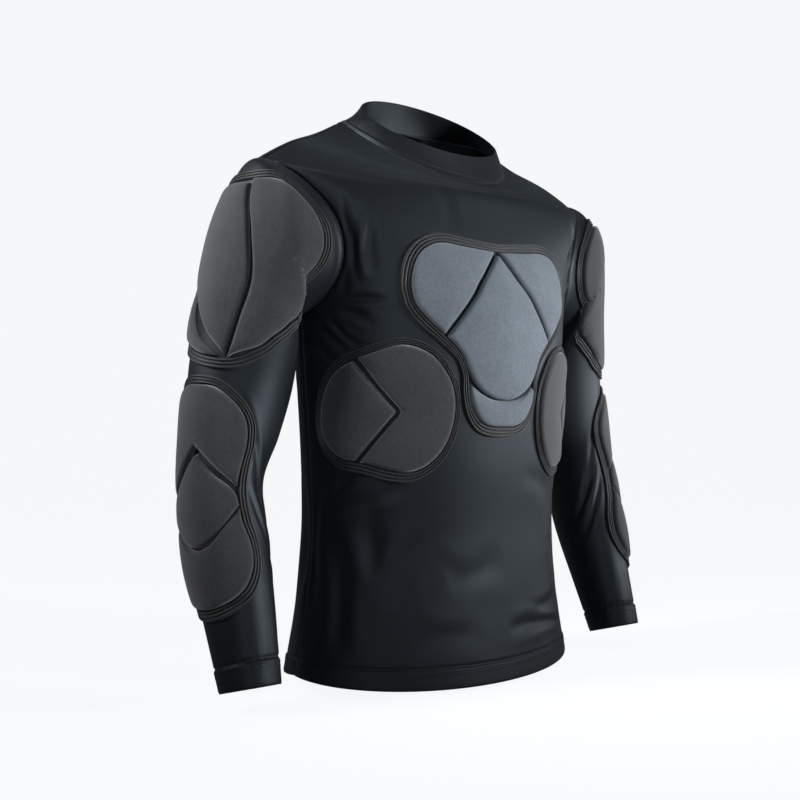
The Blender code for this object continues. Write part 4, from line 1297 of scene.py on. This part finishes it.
class Finish:
    """One material, built node by node."""

    def __init__(self, name, **constants):
        self.material = bpy.data.materials.new(name)
        self.material.use_nodes = True
        self.tree = self.material.node_tree
        self.shader = self.tree.nodes["Principled BSDF"]
        for socket, value in constants.items():
            value = (*value, 1) if isinstance(value, tuple) else value
            self.shader.inputs[socket.replace("_", " ").title().replace("Ior", "IOR")].default_value = value

    def node(self, kind, settings, *values, output=0, **named):
        made = self.tree.nodes.new(kind)
        for setting, value in settings.items():
            setattr(made, setting, value)
        sockets = list(enumerate(values)) + [(key.replace("_", " ").title(), v) for key, v in named.items()]
        for key, value in sockets:
            if isinstance(value, Wire):
                self.tree.links.new(value.socket, made.inputs[key])
            else:
                made.inputs[key].default_value = value
        return Wire(self, made.outputs[output])

    def place(self, kind="Object"):
        return self.node("ShaderNodeTexCoord", {}, output=kind)

    def parts(self, vector):
        split = self.node("ShaderNodeSeparateXYZ", {}, vector)
        return [Wire(self, socket) for socket in split.socket.node.outputs]

    def noise(self, vector, scale, detail=2.0):
        return self.node("ShaderNodeTexNoise", {}, vector=vector, scale=scale, detail=detail)

    def blend(self, share, low, high):
        mixed = self.node("ShaderNodeMix", {"data_type": "RGBA"}, share, output=2)
        for key, colour in ((6, low), (7, high)):
            if isinstance(colour, Wire):
                self.tree.links.new(colour.socket, mixed.socket.node.inputs[key])
            else:
                mixed.socket.node.inputs[key].default_value = (*colour, 1)
        return mixed

    def ramp(self, value, low, high, to_low=0.0, to_high=1.0):
        return self.node("ShaderNodeMapRange", {"clamp": True}, value, low, high, to_low, to_high)

    def feed(self, socket, wire):
        self.tree.links.new(wire.socket, self.shader.inputs[socket])

    def bump(self, height, strength, distance):
        made = self.node("ShaderNodeBump", {}, strength=strength, distance=distance, height=height)
        self.feed("Normal", made)


# %% [markdown]
# ## The stretch knit
# The cloth is a fine black jersey with a satin face. Up close it shows columns of small V-shaped loops, and from
# a step away a soft sheen with a bluish cast and a faint speckle. The loops follow the UV map in metres, so
# they keep their size on every panel, and stay shallow enough to blur into the sheen at the photo's distance.
# On the neckband, painted shade darkens the knit past its fold, where its inner side shows.


# %% Stretch knit
WALE = 0.0011
COURSE = 0.0009


def knit_height(finish, chart, wale=WALE, course=COURSE):
    """Height of a jersey's loops, from 0 to 1."""
    u, v, _ = finish.parts(chart)
    across = (u / wale).maths_of("FRACT") - 0.5
    slope = abs(across) * 2
    rounded_column = 1 - slope * slope
    loops = (v / course + slope * 0.5).wave()
    return rounded_column * 0.6 + loops * 0.4


# Painted shade: the darker colour of the neckband's inner side, where it turns in past its fold
INNER_SIDE_PAINTED_SHADE = (0.003, 0.0035, 0.004)
NECKBAND_FOLD = (0.038, 0.044)


def stretch_knit(name, dark, light, roughness=0.52, folded=None):
    """The shirt's jersey. Past a fold, given as a place across the strip, painted shade darkens its inner side."""
    finish = Finish(
        name, specular_ior_level=0.36, specular_tint=(0.78, 0.90, 1.0),
        sheen_weight=0.07, sheen_roughness=0.4, sheen_tint=(0.55, 0.68, 0.85),
    )
    chart = finish.place("UV")
    body = finish.place()
    loops = knit_height(finish, chart)
    speckle = finish.noise(body, 1100, 3)
    drift = finish.noise(body, 9, 3)
    shade = finish.ramp(speckle * 0.7 + drift * 0.3, 0.32, 0.68)
    colour = finish.blend(shade * 0.8 + loops * 0.2, dark, light)
    # painted shade on the neckband's inner side, blended in past the fold
    if folded is not None:
        inside = finish.ramp(finish.parts(chart)[1], *folded)
        colour = finish.blend(inside, colour, INNER_SIDE_PAINTED_SHADE)
    finish.feed("Base Color", colour)
    finish.feed("Roughness", finish.ramp(drift, 0.3, 0.7, roughness - 0.05, roughness + 0.06))
    finish.bump(loops + speckle * 0.5, 0.22, 0.00016)
    return finish.material


knit = stretch_knit("black_stretch_knit", (0.0055, 0.0068, 0.0085), (0.0125, 0.0150, 0.0185))
band_knit = stretch_knit("neckband_knit", (0.008, 0.0095, 0.0115), (0.024, 0.027, 0.032), 0.46, NECKBAND_FOLD)
print("knit materials", knit.name, band_knit.name)


# %% [markdown]
# ## Foam covers
# The pads wear a brushed, matt cloth: blue-grey on the chest, dark grey elsewhere. Fine fibres of lighter and
# darker yarn give it a speckle with soft clouds in it. The speckle is a noise of about one millimetre and the
# clouds one of a few centimetres. A weak sheen catches light along the rounded edges, as brushed fibres do.


# %% Foam covers
def foam_cover(name, dark, light, sheen):
    finish = Finish(name, roughness=0.86, specular_ior_level=0.28, sheen_weight=sheen, sheen_roughness=0.55)
    body = finish.place()
    chart = finish.place("UV")
    fibres = finish.noise(body, 950, 4)
    clumps = finish.noise(body, 260, 2)
    clouds = finish.noise(body, 26, 3)
    shade = finish.ramp(fibres * 0.5 + clumps * 0.25 + clouds * 0.25, 0.34, 0.66)
    finish.feed("Base Color", finish.blend(shade, dark, light))
    loops = knit_height(finish, chart, 0.0009, 0.0008)
    finish.bump(fibres * 0.7 + loops * 0.3, 0.35, 0.00022)
    return finish.material


chest_cover = foam_cover("chest_foam_cover", (0.118, 0.140, 0.166), (0.212, 0.243, 0.277), 0.25)
dark_cover = foam_cover("dark_foam_cover", (0.025, 0.026, 0.028), (0.058, 0.060, 0.064), 0.5)
print("covers", chest_cover.name, dark_cover.name)


# %% [markdown]
# ## Cord and thread
# The borders are the same knit pulled over cords, with a painted highlight on each rib and painted shade between
# them.
# The thread is plain black with a slight gloss.


# %% Cord and thread
TWILL_ALONG = 0.0012
TWILL_ACROSS = 0.0009


def corded_knit(name, valley_painted_shade, rib_painted_highlight):
    finish = Finish(name, roughness=0.5, specular_ior_level=0.45, sheen_weight=0.12)
    chart = finish.place("UV")
    body = finish.place()
    along, across, _ = finish.parts(chart)
    ribs = abs((across * (math.pi * CORDS / (CORD_CHALK * MM))).maths_of("SINE"))
    twill = (along / TWILL_ALONG + across / TWILL_ACROSS).wave()
    speckle = finish.noise(body, 900, 3)
    # painted highlight on the top of each rib, and painted shade in the valleys between the ribs
    highlight_share = ribs * ribs
    finish.feed("Base Color", finish.blend(highlight_share * 0.8 + speckle * 0.2, valley_painted_shade, rib_painted_highlight))
    finish.bump(twill * 0.6 + speckle * 0.4, 0.3, 0.00015)
    return finish.material


def thread_finish():
    finish = Finish("black_thread", roughness=0.6, specular_ior_level=0.3)
    speckle = finish.noise(finish.place(), 700)
    finish.feed("Base Color", finish.blend(speckle, (0.005, 0.006, 0.007), (0.014, 0.015, 0.017)))
    return finish.material


# Painted shade for the border's valleys and painted highlight for its rib tops
corded = corded_knit("corded_knit", (0.003, 0.0034, 0.004), (0.034, 0.037, 0.041))
thread = thread_finish()


def pale_floor():
    finish = Finish(
        "pale_floor", roughness=0.9, specular_ior_level=0.2,
        emission_color=(0.975, 0.985, 1.0), emission_strength=0.92,
    )
    mottle = finish.noise(finish.place(), 0.8)
    finish.feed("Base Color", finish.blend(mottle, (0.24, 0.24, 0.24), (0.26, 0.26, 0.26)))
    return finish.material


bowl.data.materials.append(pale_floor())
print("trim materials", corded.name, thread.name)


# %% [markdown]
# ## Dress the frame
# Each piece now gets its finish, rides on the shirt's one body, and, where it replaces a solid, hides that solid.
# The size of each panel's and sleeve's cut is printed. The knit is cut about a tenth smaller than the body it goes
# on, so the cut is the measured area taken back by that tenth.


# %% Dress the frame
STRETCH = 1.1
SEAM_REACH = 20


def dress(piece, finish, slot, *nodes):
    piece.data.materials.append(finish)
    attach(piece, "root")
    if nodes:
        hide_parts(*nodes)


def declare(piece, width, length):
    """Prints a cut's width, length and area, as they are before the cloth is stretched."""
    flat = (width / STRETCH * MM, length * MM)
    area = min(skin_area(piece) / STRETCH, flat[0] * flat[1])
    print(piece.name, "cut", [round(v, 3) for v in flat], "area", round(area, 4))


dress(front, knit, "stretch_knit", "front")
dress(back, knit, "stretch_knit", "back")
dress(neckband_piece, band_knit, "stretch_knit", "collar")
for side, piece in sleeves.items():
    dress(piece, knit, "stretch_knit", f"sleeve_{side}")
for place, piece in chest_cells.items():
    dress(piece, chest_cover, "chest_pad_cover", f"chest_pad_{place}")
for node, piece in dark_cells.items():
    dress(piece, dark_cover, "dark_pad_cover", node)
for node, piece in borders.items():
    dress(piece, corded, "border_cord", node)
for piece in stitches:
    dress(piece, thread, "border_cord")

for piece, is_front in ((front, True), (back, False)):
    widest = 2 * float(half_girth(1.0, is_front)[0])
    tallest = (piece.bound_box[1][2] - piece.bound_box[0][2]) / MM + SEAM_REACH
    declare(piece, widest, tallest)
for piece in sleeves.values():
    declare(piece, float(SLEEVE_GIRTHS.max()), float(SLEEVE_LINES.max()))
neck_round = 2 * float(half_girth(3.0, True)[0] + half_girth(3.0, False)[0])
